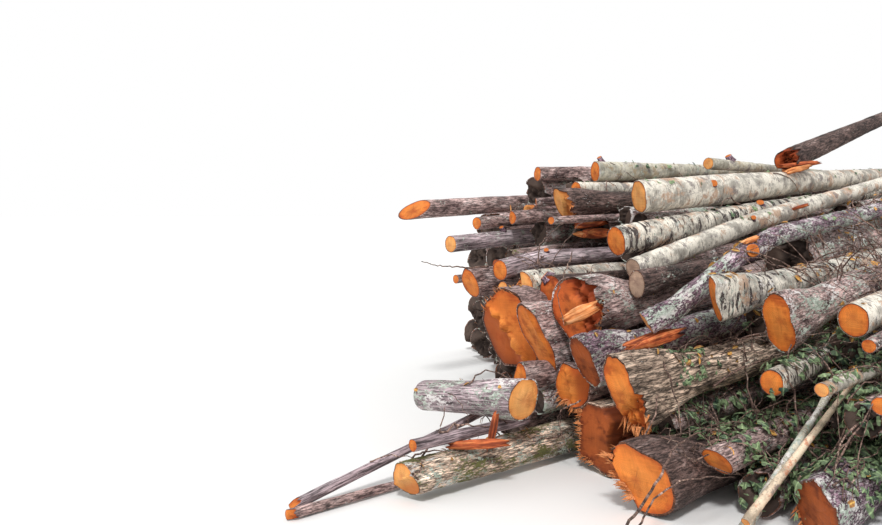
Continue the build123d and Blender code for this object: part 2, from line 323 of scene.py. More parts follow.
# Cut faces: how deep the wood lies under the plane of the cut, in metres.
# right and up are the place on the face in shares of its radius, and turn is a direction in degrees.

def turned(right, up, turn):
    """The same place, measured along that direction and across it."""
    angle = math.radians(turn)
    along = right * math.cos(angle) + up * math.sin(angle)
    across = up * math.cos(angle) - right * math.sin(angle)
    return along, across


def saw_marks(along, across, radius, size, depth, seed):
    """Shallow grooves that the chain of a saw leaves."""
    flat = np.stack([along * 0.15, across, 0 * along], -1) * radius
    return (noise(flat, size, seed) + 1) * depth


def straying(across, size, seed):
    """How far the edge of a step or a hinge strays from a straight line."""
    return noise(np.stack([across, 0 * across, 0 * across], -1), size, seed) * 0.05


def sawn_face(right, up, radius, seed, turn=20.0, wave=0.004):
    """One saw cut, with the marks of the chain and a step where the cut was finished."""
    along, across = turned(right, up, turn)
    marks = saw_marks(along, across, radius, 0.011, 0.0011, seed)
    bowed = (1 - (right**2 + up**2)) * wave * 0.5
    step = smooth_step(along + straying(across, 0.4, seed), 0.62, 0.66)
    return SHALLOWEST + marks + bowed + step * wave


def torn_band(distance, across, width, depth, radius, seed):
    """Ragged fibres that stand up in a band, in metres."""
    inside = 1 - smooth_step(np.abs(distance), width * 0.5, width)
    fibres = rough(np.stack([across * radius, distance * radius * 0.6, 0 * across], -1), 0.02, seed, 3)
    return inside * (0.45 + 0.55 * fibres) * depth


def felled_face(right, up, radius, seed, turn=270.0, hinge=0.2, notch=32.0, ragged=0.05, width=0.12):
    """A felling cut: a flat back cut, a torn hinge, and an oblique notch beyond the hinge."""
    along, across = turned(right, up, turn)
    beyond = along - hinge + straying(across, 0.35, seed)
    depth = ragged * 0.7 + np.clip(beyond, 0, None) * radius * math.tan(math.radians(notch))
    depth = depth - torn_band(beyond, across, width, ragged, radius, seed)
    return np.clip(depth + saw_marks(across, along, radius, 0.012, 0.0012, seed + 3), 0.001, None)


def torn_face(right, up, radius, seed, turn=180.0, share=0.3, deep=0.12, coarse=0.03):
    """A cut that broke off on one side into long splinters."""
    along, across = turned(right, up, turn)
    flat = np.stack([across * radius, along * radius * 0.7, 0 * up], -1)
    broken = smooth_step(along + noise(flat, 0.09, seed) * 0.25, share - 0.06, share + 0.06)
    spikes = np.abs(rough(flat, coarse, seed + 5, 3))
    marks = saw_marks(across, along, radius, 0.012, 0.0012, seed + 3)
    return SHALLOWEST + marks + broken * deep * (0.25 + spikes)


# How the tables name a face: its function and the values that follow the seed

def sawn(*shape):
    return sawn_face, shape


def felled(*shape):
    return felled_face, shape


def torn(*shape):
    return torn_face, shape


# Building one log

def ring_places(first, last, length):
    """Shares of the length for the rings of bark: close together near the butt."""
    steps, step, place = [0.0], first, 0.0
    while place < length:
        place += step
        steps.append(place)
        step = min(step * RING_GROWTH, last)
    return np.array(steps) / steps[-1]


def leaning_plane(stem, lean, clock):
    """Outward direction of an oblique cut: clock 0 has its foremost edge at the right, 90 at the bottom."""
    outward = -(stem.way + math.tan(math.radians(lean)) * stem.outward(-clock))
    return outward / np.linalg.norm(outward)


def log_mesh(stem, name, relief, face, tones, detail, lean=None):
    """One closed log: its sawn butt, its bark and its top end, as corners, faces and attributes."""
    seed = seed_of(name)
    make_face, face_shape = face
    around_step, first, last = detail
    around = int(np.clip(2 * math.pi * stem.radius / around_step, LEAST_AROUND, MOST_AROUND))
    angle = full_turn(around)
    across = np.cos(angle)[:, None] * stem.right + np.sin(angle)[:, None] * stem.up
    start = stem.rim_place(across, stem.butt, stem.butt_out)
    stop = stem.rim_place(across, stem.top, stem.top_out)
    middle = stem.start
    if lean:
        oblique = stem.rim_place(across, stem.line(stem.start), leaning_plane(stem, *lean))
        back = (start - oblique).max()
        start, middle = oblique + back, stem.start + back
    face_rings = max(3, int(stem.radius / max(FACE_STEP, around_step * 0.6)))
    inner = WOOD_RING * (np.arange(1, face_rings + 1) / face_rings) ** 0.85

    def butt_depth(right, up):
        return make_face(right, up, stem.radius, seed, *face_shape) + INSIDE

    def top_depth(right, up):
        return sawn_face(right, up, stem.radius, seed + 50, 70) + INSIDE

    def skin(place):
        spot = round_axis(angle, stem.radius, place - stem.start)
        return stem.thickness(place) - INSIDE - RELIEFS[relief](spot, stem.radius, seed)

    rows, places, radii, kinds, edges, deeps = [], [], [], [], [], []

    def keep(place, radius, kind, edge, deep=0.0):
        """One more ring of points, at those places along the log."""
        rows.append(stem.line(place) + across * radius[:, None])
        places.append(place)
        radii.append(radius)
        deeps.append(np.broadcast_to(deep, (around,)))
        kinds.append(kind)
        edges.append(edge)

    def keep_end(shares, outer, sign, kind):
        """Rings of the butt (sign 1) or of the top (sign -1), pushed inwards by the depth of the cut."""
        rim, mean, depth = (start, middle, butt_depth) if sign > 0 else (stop, stem.stop, top_depth)
        for share in shares:
            deep = depth(share * np.cos(angle), share * np.sin(angle))
            place = mean + (rim - mean) * share + sign * deep
            keep(place, outer * share, kind, share, deep if sign > 0 and kind == WOOD else 0.0)

    begin = start + butt_depth(np.cos(angle), np.sin(angle))
    end = stop - top_depth(np.cos(angle), np.sin(angle))
    keep_end(inner, skin(begin), 1, WOOD)
    keep_end((BARK_START, BARK_END), skin(begin), 1, SECTION)
    for share in ring_places(first, last, stem.length):
        place = begin + (end - begin) * share
        keep(place, skin(place) * (RIM_TUCK if share in (0.0, 1.0) else 1), SKIN, 1.0)
    keep_end((BARK_END, BARK_START), skin(end), -1, SECTION)
    keep_end(inner[::-2], skin(end), -1, WOOD)
    centre_depths = [depth(np.zeros(1), np.zeros(1)) for depth in (butt_depth, top_depth)]
    centres = np.concatenate([middle + centre_depths[0], stem.stop - centre_depths[1]])
    corners = np.vstack([*rows, stem.line(centres)])
    quads, triangles = closed_skin(len(rows), around)
    # Between two kinds of ring, the outer kind gives the material.
    bands = SLOT_OF_KIND[np.maximum(kinds[:-1], kinds[1:])]
    turn = np.concatenate([np.tile(angle, len(rows)), [0, 0]])
    radius = np.concatenate([*radii, [0, 0]])
    return {
        "corners": corners,
        "quads": quads,
        "triangles": triangles,
        "slots": np.concatenate([np.repeat(bands, around), np.full(len(triangles), SLOT_OF_KIND[WOOD])]),
        "log_place": round_axis(turn, radius, np.concatenate([*places, centres]) - stem.start),
        "log_edge": np.concatenate([np.repeat(edges, around), [0, 0]]),
        "log_deep": np.concatenate([*deeps, centre_depths[0], [0]]),
        "log_tone": np.broadcast_to(np.array(tones, float), (len(corners), 3)),
        "log_chance": np.full(len(corners), (seed % 97) / 97.0),
    }


def swell(made, stem, side, rise, flats=(), lobes=(0.0, 0.0), shift=(0.0, 0.0), reach=0.5):
    """Shapes the butt of a log as its roots did.

    side and rise are its shares across and upwards. flats are straight sides: the direction in degrees
    and the share of the radius. lobes is the depth of a waist and its direction. shift moves the face
    to the right and upwards. reach is how far along the log all this fades out.
    """
    place = made["log_place"][:, 2] + stem.start
    line = stem.line(place)
    offset = made["corners"] - line
    face = (made["log_edge"] < 1) & (place < stem.start + stem.length / 2)
    back = place[face].max()
    share = 1 - smooth_step(place, back, back + reach)
    across, upward = offset @ stem.right, offset @ stem.up
    angle = np.arctan2(upward, across)
    outline = 1 + noise(round_axis(angle, 1, 0), 0.7, 3) * 0.07
    for direction, limit in flats:
        facing = np.cos(angle - math.radians(direction))
        outline = np.minimum(outline, limit / np.clip(facing, 0.05, None))
    outline = outline - lobes[0] * np.clip(np.cos(2 * (angle - math.radians(lobes[1]))), 0, None) ** 3
    outline = 1 + (outline - 1) * share
    wide, tall = (1 + (side - 1) * share) * outline, (1 + (rise - 1) * share) * outline
    across = across * wide + shift[0] * share
    upward = upward * tall + shift[1] * share
    along = np.outer(offset @ stem.way, stem.way)
    made["corners"] = line + along + np.outer(across, stem.right) + np.outer(upward, stem.up)
    made["corners"][:, 2] = np.maximum(made["corners"][:, 2], OVER_FLOOR)
    made["log_place"] = made["log_place"] * np.stack([wide, tall, 1 + 0 * share], -1)


# Objects and node trees

def put(name, data):
    """A new object in the scene."""
    made = bpy.data.objects.new(name, data)
    bpy.context.scene.collection.objects.link(made)
    return made


def add_piece(name, mesh):
    """A new piece of the visual model, which goes where the stack goes."""
    piece = put(name, mesh)
    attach(piece, "root")
    return piece


def add_layer(mesh, title, values):
    """Gives each corner of a mesh its value or its vector."""
    values = np.asarray(values, np.float32)
    kind, field = ("FLOAT", "value") if values.ndim == 1 else ("FLOAT_VECTOR", "vector")
    mesh.attributes.new(title, kind, "POINT").data.foreach_set(field, values.ravel())


def make_object(name, parts, finishes):
    """Joins the given parts into one plain mesh object at the origin."""
    loops, starts = [], []
    base, used = 0, 0
    for part in parts:
        for faces in (part["quads"], part["triangles"]):
            loops.append((faces + base).ravel())
            starts.append(used + np.arange(len(faces)) * faces.shape[1])
            used += faces.size
        base += len(part["corners"])
    joined = {key: np.concatenate([part[key] for part in parts]) for key in ("corners", "slots", *LAYERS)}
    mesh = bpy.data.meshes.new(name)
    mesh.vertices.add(base)
    mesh.vertices.foreach_set("co", joined["corners"].astype(np.float32).ravel())
    mesh.loops.add(used)
    mesh.loops.foreach_set("vertex_index", np.concatenate(loops).astype(np.int32))
    starts = np.concatenate(starts)
    mesh.polygons.add(len(starts))
    mesh.polygons.foreach_set("loop_start", starts.astype(np.int32))
    mesh.polygons.foreach_set("material_index", joined["slots"].astype(np.int32))
    mesh.update(calc_edges=True)
    mesh.validate()
    for title in LAYERS:
        add_layer(mesh, title, joined[title])
    mesh.polygons.foreach_set("use_smooth", np.ones(len(starts), bool))
    for title in finishes:
        mesh.materials.append(bpy.data.materials[title])
    return add_piece(name, mesh)


class Wiring:
    """Short calls that add nodes to a node tree."""

    def __init__(self, tree):
        self.tree = tree

    def node(self, kind, inputs=None, **settings):
        """Adds a node, links or sets its inputs, and gives its outputs."""
        node = self.tree.nodes.new(kind)
        for name, value in settings.items():
            setattr(node, name, value)
        for key, value in (inputs or {}).items():
            if isinstance(value, bpy.types.NodeSocket):
                self.tree.links.new(value, node.inputs[key])
            else:
                node.inputs[key].default_value = value
        return node.outputs

    def add(self, kind, inputs=None, **settings):
        return self.node("ShaderNode" + kind, inputs, **settings)

    def read(self, name, output="Vector"):
        """What the corners of a mesh hold under that name, in materials."""
        return self.add("Attribute", attribute_name=name)[output]

    def sum(self, operation, a, b=0.0):
        """One step of arithmetic, named as the Math node names it."""
        return self.add("Math", {0: a, 1: b}, operation=operation)[0]

    def pack(self, x, y, z):
        return self.add("CombineXYZ", {0: x, 1: y, 2: z})[0]

    def split(self, vector):
        return self.add("SeparateXYZ", {0: vector})

    def stretch(self, vector, scale):
        return self.add("Mapping", {"Vector": vector, "Scale": scale})[0]

    def shift(self, vector, amount):
        return self.add("VectorMath", {0: vector, 1: amount}, operation="ADD")[0]

    def cloud(self, vector, scale, detail=4.0, rough=0.55, bend=0.0):
        """Noise from 0 to 1."""
        values = {"Vector": vector, "Scale": scale, "Detail": detail, "Roughness": rough, "Distortion": bend}
        return self.add("TexNoise", values)[0]

    def step(self, value, low, high, start=0.0, stop=1.0):
        """Goes smoothly from start to stop while the value goes from low to high."""
        values = {"Value": value, "From Min": low, "From Max": high, "To Min": start, "To Max": stop}
        return self.add("MapRange", values, interpolation_type="SMOOTHSTEP")[0]

    def mix(self, share, a, b):
        a, b = (one if isinstance(one, bpy.types.NodeSocket) else (*one[:3], 1) for one in (a, b))
        return self.add("Mix", {0: share, 6: a, 7: b}, data_type="RGBA")[2]

    def shade(self, color, value):
        return self.add("VectorMath", {0: color, "Scale": value}, operation="SCALE")[0]

    def group(self, name, inputs):
        return self.add("Group", inputs, node_tree=bpy.data.node_groups[name])

    def named(self, title, kind):
        """The same in geometry nodes."""
        return self.node("GeometryNodeInputNamedAttribute", {"Name": title}, data_type=kind)["Attribute"]

    def finish_mesh(self, geometry, finish):
        """Makes copies real and gives them their material."""
        real = self.node("GeometryNodeRealizeInstances", {0: geometry})[0]
        return self.node("GeometryNodeSetMaterial", {"Geometry": real, "Material": finish})[0]


def new_tree(kind, name, inputs, outputs):
    """A node tree with named sockets: its wiring, its inputs and a call that sets its outputs."""
    tree = bpy.data.node_groups.new(name, kind)
    for title, form, default in inputs:
        socket = tree.interface.new_socket(title, in_out="INPUT", socket_type="NodeSocket" + form)
        if default is not None:
            socket.default_value = default
    for title, form in outputs:
        tree.interface.new_socket(title, in_out="OUTPUT", socket_type="NodeSocket" + form)
    given = tree.nodes.new("NodeGroupInput").outputs
    result = tree.nodes.new("NodeGroupOutput").inputs

    def finish(**values):
        for title, socket in values.items():
            tree.links.new(socket, result[title])

    return Wiring(tree), given, finish


def scatter_tree():
    """Geometry nodes that stand one small shape on every point, turned to the point's own direction."""
    wire, given, finish = new_tree(
        "GeometryNodeTree", "Scatter",
        [("Points", "Geometry", None), ("Shape", "Object", None), ("Size", "Float", 1.0),
         ("Finish", "Material", None)],
        [("Mesh", "Geometry")],
    )
    upright = {"Vector": wire.named("direction", "FLOAT_VECTOR")}
    align = wire.node("FunctionNodeAlignRotationToVector", upright, axis="Z")[0]
    spin = {"Axis": (0, 0, 1), "Angle": wire.named("spin", "FLOAT")}
    spin = wire.node("FunctionNodeAxisAngleToRotation", spin)[0]
    turn = wire.node("FunctionNodeRotateRotation", {0: align, 1: spin}, rotation_space="LOCAL")[0]
    scale = wire.shade(wire.named("size", "FLOAT_VECTOR"), given["Size"])
    shape = wire.node("GeometryNodeObjectInfo", {"Object": given["Shape"]})["Geometry"]
    copies = {"Points": given["Points"], "Instance": shape, "Rotation": turn, "Scale": scale}
    copies = wire.node("GeometryNodeInstanceOnPoints", copies)[0]
    finish(Mesh=wire.finish_mesh(copies, given["Finish"]))


def twig_tree():
    """Geometry nodes that make a thin tapering branch along every edge path."""
    wire, given, finish = new_tree(
        "GeometryNodeTree", "Twigs",
        [("Paths", "Geometry", None), ("Thickness", "Float", 0.006), ("Sides", "Int", 5),
         ("Finish", "Material", None)],
        [("Mesh", "Geometry")],
    )
    curve = wire.node("GeometryNodeMeshToCurve", {0: given["Paths"]})[0]
    along = wire.node("GeometryNodeSplineParameter")["Factor"]
    taper = wire.add("MapRange", {"Value": along, "To Min": 1.0, "To Max": 0.35})[0]
    size = wire.sum("MULTIPLY", taper, wire.named("twig_size", "FLOAT"))
    circle = {"Resolution": given["Sides"], "Radius": given["Thickness"]}
    circle = wire.node("GeometryNodeCurvePrimitiveCircle", circle)[0]
    sweep = {"Curve": curve, "Profile Curve": circle, "Scale": size, "Fill Caps": True}
    sweep = wire.node("GeometryNodeCurveToMesh", sweep)[0]
    finish(Mesh=wire.finish_mesh(sweep, given["Finish"]))


TREES = {"Scatter": scatter_tree, "Twigs": twig_tree}


def run_tree(holder, name, values):
    """Gives an object a node tree as a modifier, with the tree's named inputs set."""
    if name not in bpy.data.node_groups:
        TREES[name]()
    tree = bpy.data.node_groups[name]
    modifier = holder.modifiers.new(name, "NODES")
    modifier.node_group = tree
    sockets = {item.name: item.identifier for item in tree.interface.items_tree if item.in_out == "INPUT"}
    for title, value in values.items():
        modifier[sockets[title]] = value


def to_mesh_piece(holder, name):
    """Turns what a modifier made into a plain mesh object and removes the holder."""
    bpy.context.view_layer.update()
    result = holder.evaluated_get(bpy.context.evaluated_depsgraph_get())
    mesh = bpy.data.meshes.new_from_object(result)
    mesh.name = name
    corners = np.empty(len(mesh.vertices) * 3, np.float32)
    mesh.vertices.foreach_get("co", corners)
    corners[2::3] = np.maximum(corners[2::3], OVER_FLOOR)
    mesh.vertices.foreach_set("co", corners)
    drop(holder)
    return add_piece(name, mesh)


def drop(shape):
    """Removes an object and its mesh."""
    mesh = shape.data
    bpy.data.objects.remove(shape)
    bpy.data.meshes.remove(mesh)


# Loose and torn pieces

def loft(rows, spots, chance):
    """A closed skin over rings of points, as a part for make_object."""
    corners, places = (np.vstack([*rings, rings[0].mean(0), rings[-1].mean(0)]) for rings in (rows, spots))
    quads, triangles = closed_skin(len(rows), len(rows[0]))
    return {
        "corners": corners,
        "quads": quads,
        "triangles": triangles,
        "slots": np.zeros(len(quads) + len(triangles), int),
        "log_place": places,
        "log_edge": np.full(len(corners), 0.5),
        "log_deep": np.zeros(len(corners)),
        "log_tone": np.full((len(corners), 3), 0.12),
        "log_chance": np.full(len(corners), chance),
    }


def frame_along(way):
    """That direction made one long, and two more square to it."""
    way = np.asarray(way, float)
    way = way / np.linalg.norm(way)
    side = np.cross(way, (0.0, 0.0, 1.0) if abs(way[2]) < 0.9 else (1.0, 0.0, 0.0))
    side /= np.linalg.norm(side)
    return way, side, np.cross(side, way)


def chunk(place, way, size, seed):
    """A torn block of wood: long fibres with ragged ends."""
    way, side, top = frame_along(way)
    length, width, thick = size
    around, rings = 14, 9
    turn = full_turn(around)
    blunt_x, blunt_y = (np.abs(one) ** 0.6 * np.sign(one) for one in (np.cos(turn), np.sin(turn)))
    rows, spots = [], []
    for share in np.linspace(0, 1, rings):
        fibre = round_axis(turn, 1, share * 0.6)
        swollen = 1 + rough(fibre, 0.5, seed, 3) * 0.22
        ragged = noise(fibre * (1, 1, 0), 0.3, seed + 4) * length * 0.22 * abs(2 * share - 1) ** 2
        narrow = math.sin(math.pi * (0.16 + 0.68 * share)) ** 0.5
        local_x = blunt_x * width / 2 * swollen * narrow
        local_y = blunt_y * thick / 2 * swollen * narrow
        along = (share - 0.5) * length + ragged
        rows.append(place + np.outer(along, way) + np.outer(local_x, side) + np.outer(local_y, top))
        spots.append(np.stack([local_x, local_y, along], -1) + seed * 0.37)
    return loft(rows, spots, (seed % 10) / 10)


def side_of_log(node, along, angle):
    """A log's line, where along it a distance from its butt is, and the direction of an angle round it."""
    stem = Stem(*loose_parts(node)[0])
    return stem, np.array([stem.start + along]), stem.outward(angle)


def beside(node, along, angle, gap):
    """A point off a log: distance from its butt, angle round it and gap from its bark."""
    stem, place, outward = side_of_log(node, along, angle)
    return stem.line(place)[0] + outward * (stem.thickness(place)[0] + gap)


def stub(node, along, angle, radius, length):
    """What is left of a branch that was cut off near the log."""
    stem, place, outward = side_of_log(node, along, angle)
    way, side, top = frame_along(outward - stem.way * STUB_LEAN)
    thickness = stem.thickness(place)[0]
    root = stem.line(place)[0] + outward * thickness * 0.7
    reach = thickness * 0.3 + length
    around = 16
    turn = full_turn(around)
    rows, spots = [], []
    for share, wide in STUB_RINGS:
        uneven = 1 + noise(round_axis(turn, 1, share), 0.6, 5) * 0.1
        ring = np.outer(np.cos(turn) * uneven, side) + np.outer(np.sin(turn) * uneven, top)
        rows.append(root + way * reach * share + ring * radius * wide)
        spots.append(round_axis(turn, radius * wide, share * reach))
    made = loft(rows, spots, 0.3)
    made["slots"][-4 * around:] = 1  # the last two bands and both ends show the cut
    return made


def rim_spots(node, first, last, count, forward, outward, chance):
    """Places on the rim of a dressed butt between two angles, and the direction in which fibres stand out."""
    mesh = bpy.data.objects[node + "_look"].data
    total = len(mesh.vertices)
    corners, spots, edges = np.empty(total * 3), np.empty(total * 3), np.empty(total)
    mesh.vertices.foreach_get("co", corners)
    mesh.attributes["log_place"].data.foreach_get("vector", spots)
    mesh.attributes["log_edge"].data.foreach_get("value", edges)
    corners, spots = corners.reshape(-1, 3), spots.reshape(-1, 3)
    stem = Stem(*loose_parts(node)[0])
    angle = np.degrees(np.arctan2(spots[:, 1], spots[:, 0])) % 360
    within = (angle - first) % 360 < (last - first)
    rim = within & (edges > 0.9) & (edges < 1) & (spots[:, 2] < stem.length / 2)
    picked = np.nonzero(rim)[0][chance.integers(0, rim.sum(), count)]
    radial = corners[picked] - stem.line(spots[picked, 2] + stem.start)
    radial /= np.linalg.norm(radial, axis=1)[:, None]
    common = stem.outward((first + last) / 2)
    way = (radial * 0.3 + common * 0.7) * outward - stem.way * forward
    return corners[picked], way / np.linalg.norm(way, axis=1)[:, None]


def scatter(name, points, directions, sizes, shape, finish, seed, scale=1.0):
    """Copies of one shape on the given points, as one plain mesh."""
    count = len(points)
    chance = np.random.default_rng(seed)
    mesh = bpy.data.meshes.new(name + "_points")
    mesh.vertices.add(count)
    mesh.vertices.foreach_set("co", np.asarray(points, np.float32).ravel())
    add_layer(mesh, "direction", directions)
    add_layer(mesh, "size", sizes)
    add_layer(mesh, "spin", chance.uniform(0, 2 * math.pi, count))
    add_layer(mesh, "leaf_tint", chance.uniform(0, 1, count))
    holder = put(name + "_holder", mesh)
    run_tree(holder, "Scatter", {"Shape": shape, "Size": scale, "Finish": bpy.data.materials[finish]})
    return to_mesh_piece(holder, name)


def small_shape(name, corners, faces):
    """A small mesh that is copied and then removed."""
    mesh = bpy.data.meshes.new(name)
    mesh.from_pydata(corners, [], faces)
    add_layer(mesh, "log_place", corners)
    return put(name, mesh)


def leaf_shape(name, outline, middle):
    """A thin closed leaf: one fan of faces above and one below."""
    x, y, z = middle
    corners = [middle, (x, y, z - 0.03), *outline]
    count = len(outline)
    faces = [(0, 2 + k, 2 + (k + 1) % count) for k in range(count)]
    faces += [(1, 2 + (k + 1) % count, 2 + k) for k in range(count)]
    shape = small_shape(name, corners, faces)
    add_layer(shape.data, "leaf_middle", [corner[0] for corner in corners])
    return shape


def surface_spots(nodes, low, high, count, seed, upward=0.25):
    """Random places on the dressed logs inside a box, with the direction that the bark faces there."""
    centres, normals, areas = [], [], []
    for node in nodes:
        mesh = bpy.data.objects[node + "_look"].data
        total = len(mesh.polygons)
        data = {key: np.empty(total * width) for key, width in (("center", 3), ("normal", 3), ("area", 1))}
        for key, values in data.items():
            mesh.polygons.foreach_get(key, values)
        centre, normal = data["center"].reshape(-1, 3), data["normal"].reshape(-1, 3)
        inside = ((centre > low) & (centre < high)).all(1) & (normal[:, 2] > upward)
        centres.append(centre[inside])
        normals.append(normal[inside])
        areas.append(data["area"][inside])
    centres, normals, areas = np.vstack(centres), np.vstack(normals), np.concatenate(areas)
    chance = np.random.default_rng(seed)
    picked = chance.choice(len(areas), count, p=areas / areas.sum())
    return centres[picked], normals[picked]


# Materials

def lichen_group():
    """Crusts of lichen and cushions of moss over bark, more of it where the two amounts are higher."""
    wire, given, finish = new_tree(
        "ShaderNodeTree", "Lichen and moss",
        [("Base", "Color", (0.1, 0.07, 0.06, 1)), ("Place", "Vector", None), ("Lichen", "Float", 0.3),
         ("Moss", "Float", 0.1), ("Size", "Float", 9.0)],
        [("Color", "Color"), ("Mask", "Float"), ("Height", "Float")],
    )
    place = given["Place"]
    broad = wire.cloud(place, given["Size"], 8.0, 0.72, 0.4)
    fine = wire.cloud(place, 60.0, 4.0, 0.65)
    crust = wire.sum("ADD", broad, wire.sum("MULTIPLY", fine, 0.7))
    edge = wire.sum("SUBTRACT", 1.08, wire.sum("MULTIPLY", given["Lichen"], 0.42))
    mask = wire.step(wire.sum("SUBTRACT", crust, edge), -0.02, 0.03)
    speck = wire.add("TexVoronoi", {"Vector": place, "Scale": 55.0})["Distance"]
    speck = wire.step(speck, 0.35, 0.2)
    speck = wire.sum("MULTIPLY", speck, wire.step(wire.sum("ADD", broad, given["Lichen"]), 0.6, 0.95))
    mottle = wire.step(wire.cloud(place, 45.0, 4.0, 0.7), 0.35, 0.65)
    pale = wire.mix(mottle, (0.26, 0.31, 0.25), (0.60, 0.66, 0.58))
    white = wire.step(wire.cloud(wire.shift(place, (5.0, 2.0, 9.0)), 5.0, 3.0), 0.48, 0.58)
    pale = wire.mix(white, pale, (0.74, 0.70, 0.68))
    mask = wire.sum("MAXIMUM", mask, wire.sum("MULTIPLY", speck, 0.6))
    color = wire.mix(mask, given["Base"], pale)
    growth = wire.cloud(wire.shift(place, (3.1, 1.7, 5.2)), 6.0, 5.0, 0.6)
    growth = wire.sum("ADD", growth, wire.sum("MULTIPLY", fine, 0.6))
    edge = wire.sum("SUBTRACT", 1.10, wire.sum("MULTIPLY", given["Moss"], 0.40))
    moss = wire.step(wire.sum("SUBTRACT", growth, edge), -0.03, 0.08)
    green = wire.mix(fine, (0.05, 0.05, 0.018), (0.20, 0.20, 0.07))
    color = wire.mix(moss, color, green)
    finish(Color=color, Mask=wire.sum("MAXIMUM", mask, moss), Height=wire.sum("MULTIPLY", mask, fine))


def rings_group():
    """Growth rings, heart checks and saw marks of a cut face."""
    wire, given, finish = new_tree(
        "ShaderNodeTree", "Growth rings",
        [("Place", "Vector", None), ("Chance", "Float", 0.5), ("Width", "Float", 0.008)],
        [("Ring", "Float"), ("Heart", "Float"), ("Check", "Float"), ("Marks", "Float"), ("Stain", "Float")],
    )
    x, y, _ = wire.split(given["Place"])
    turn = wire.sum("MULTIPLY", given["Chance"], 6.28)
    x = wire.sum("SUBTRACT", x, wire.sum("MULTIPLY", wire.sum("COSINE", turn), 0.018))
    y = wire.sum("SUBTRACT", y, wire.sum("MULTIPLY", wire.sum("SINE", turn), 0.018))
    flat = wire.pack(x, y, given["Chance"])
    distance = wire.sum("SQRT", wire.sum("ADD", wire.sum("MULTIPLY", x, x), wire.sum("MULTIPLY", y, y)))
    wobble = wire.cloud(flat, 9.0, 2.0)
    grown = wire.sum("ADD", distance, wire.sum("MULTIPLY", wobble, 0.03))
    ring = wire.step(wire.sum("FRACT", wire.sum("DIVIDE", grown, given["Width"])), 0.35, 0.98)
    angle = wire.sum("ARCTAN2", y, x)
    radial = wire.pack(wire.sum("COSINE", angle), wire.sum("SINE", angle), given["Chance"])
    ray = wire.cloud(radial, 4.0, 2.0, 0.5)
    check = wire.step(wire.sum("ABSOLUTE", wire.sum("SUBTRACT", ray, 0.5)), 0.012, 0.003)
    check = wire.sum("MULTIPLY", check, wire.step(distance, 0.11, 0.02))
    slant = wire.add("Mapping", {"Vector": flat, "Rotation": (0, 0, 0.5), "Scale": (6.0, 110.0, 1.0)})[0]
    marks = wire.cloud(slant, 1.0, 2.0, 0.6)
    stain = wire.cloud(flat, 11.0, 4.0, 0.6)
    finish(Ring=ring, Heart=wire.step(distance, 0.0, 0.045, 1.0, 0.0), Check=check, Marks=marks, Stain=stain)


def start_material(name):
    """An empty material and its wiring."""
    material = bpy.data.materials.new(name)
    material.use_nodes = True
    material.node_tree.nodes.clear()
    return material, Wiring(material.node_tree)


def finish_material(wire, color, roughness, height, strength=0.5, depth=0.004):
    """Shader, bump and output of a material."""
    bump = wire.add("Bump", {"Height": height, "Strength": strength, "Distance": depth})[0]
    look = {"Base Color": color, "Roughness": roughness, "Specular IOR Level": 0.3, "Normal": bump}
    wire.add("OutputMaterial", {0: wire.add("BsdfPrincipled", look)[0]})


def log_inputs(wire):
    """Place on the log, shifted so that no two logs look the same, and its lichen, moss and scars."""
    chance = wire.read("log_chance", "Fac")
    amount = wire.pack(chance, chance, wire.sum("MULTIPLY", chance, 31.0))
    return wire.shift(wire.read("log_place"), amount), wire.split(wire.read("log_tone"))


def scaled(color, share):
    """A darker or lighter colour."""
    return tuple(min(1, part * share) for part in color)


def bark_material(name, dark, middle, light, size=14.0, furrow_shade=0.5, stretch=0.3, bump=0.6):
    """Alder bark: two browns in streaks along the log, pores across it, and lichen over them."""
    _, wire = start_material(name)
    moved, tone = log_inputs(wire)
    streak = wire.cloud(wire.stretch(moved, (1, 1, stretch)), size, 6.0, 0.62, 0.5)
    color = wire.mix(wire.step(streak, 0.32, 0.52), dark, middle)
    color = wire.mix(wire.step(streak, 0.53, 0.70), color, light)
    furrows = wire.cloud(wire.stretch(moved, (1, 1, stretch * 0.7)), size * 3.2, 3.0, 0.6)
    # The furrows of the bark are painted darker: painted shade in its creases
    crease = wire.step(wire.sum("ABSOLUTE", wire.sum("SUBTRACT", furrows, 0.5)), 0.07, 0.0)
    color = wire.mix(wire.sum("MULTIPLY", crease, furrow_shade), color, scaled(dark, 0.3))
    pores = wire.step(wire.cloud(wire.stretch(moved, (1, 1, 3.2)), 45.0, 2.0, 0.5), 0.66, 0.74)
    color = wire.mix(wire.sum("MULTIPLY", pores, 0.45), color, light)
    color = wire.shade(color, wire.step(wire.cloud(moved, 3.0, 2.0), 0.35, 0.65, 0.7, 1.3))
    grain = wire.cloud(wire.stretch(moved, (1, 1, stretch * 0.6)), 95.0, 3.0, 0.75)
    color = wire.shade(color, wire.step(grain, 0.38, 0.62, 0.35, 1.6))
    crusts = wire.stretch(moved, (1.2, 1.2, 0.6))
    over = wire.group("Lichen and moss", {"Base": color, "Place": crusts, "Lichen": tone[0], "Moss": tone[1]})
    height = wire.sum("SUBTRACT", wire.sum("ADD", streak, wire.sum("MULTIPLY", over["Height"], 0.5)), crease)
    finish_material(wire, over["Color"], wire.step(over["Mask"], 0.0, 1.0, 0.78, 0.95), height, bump)


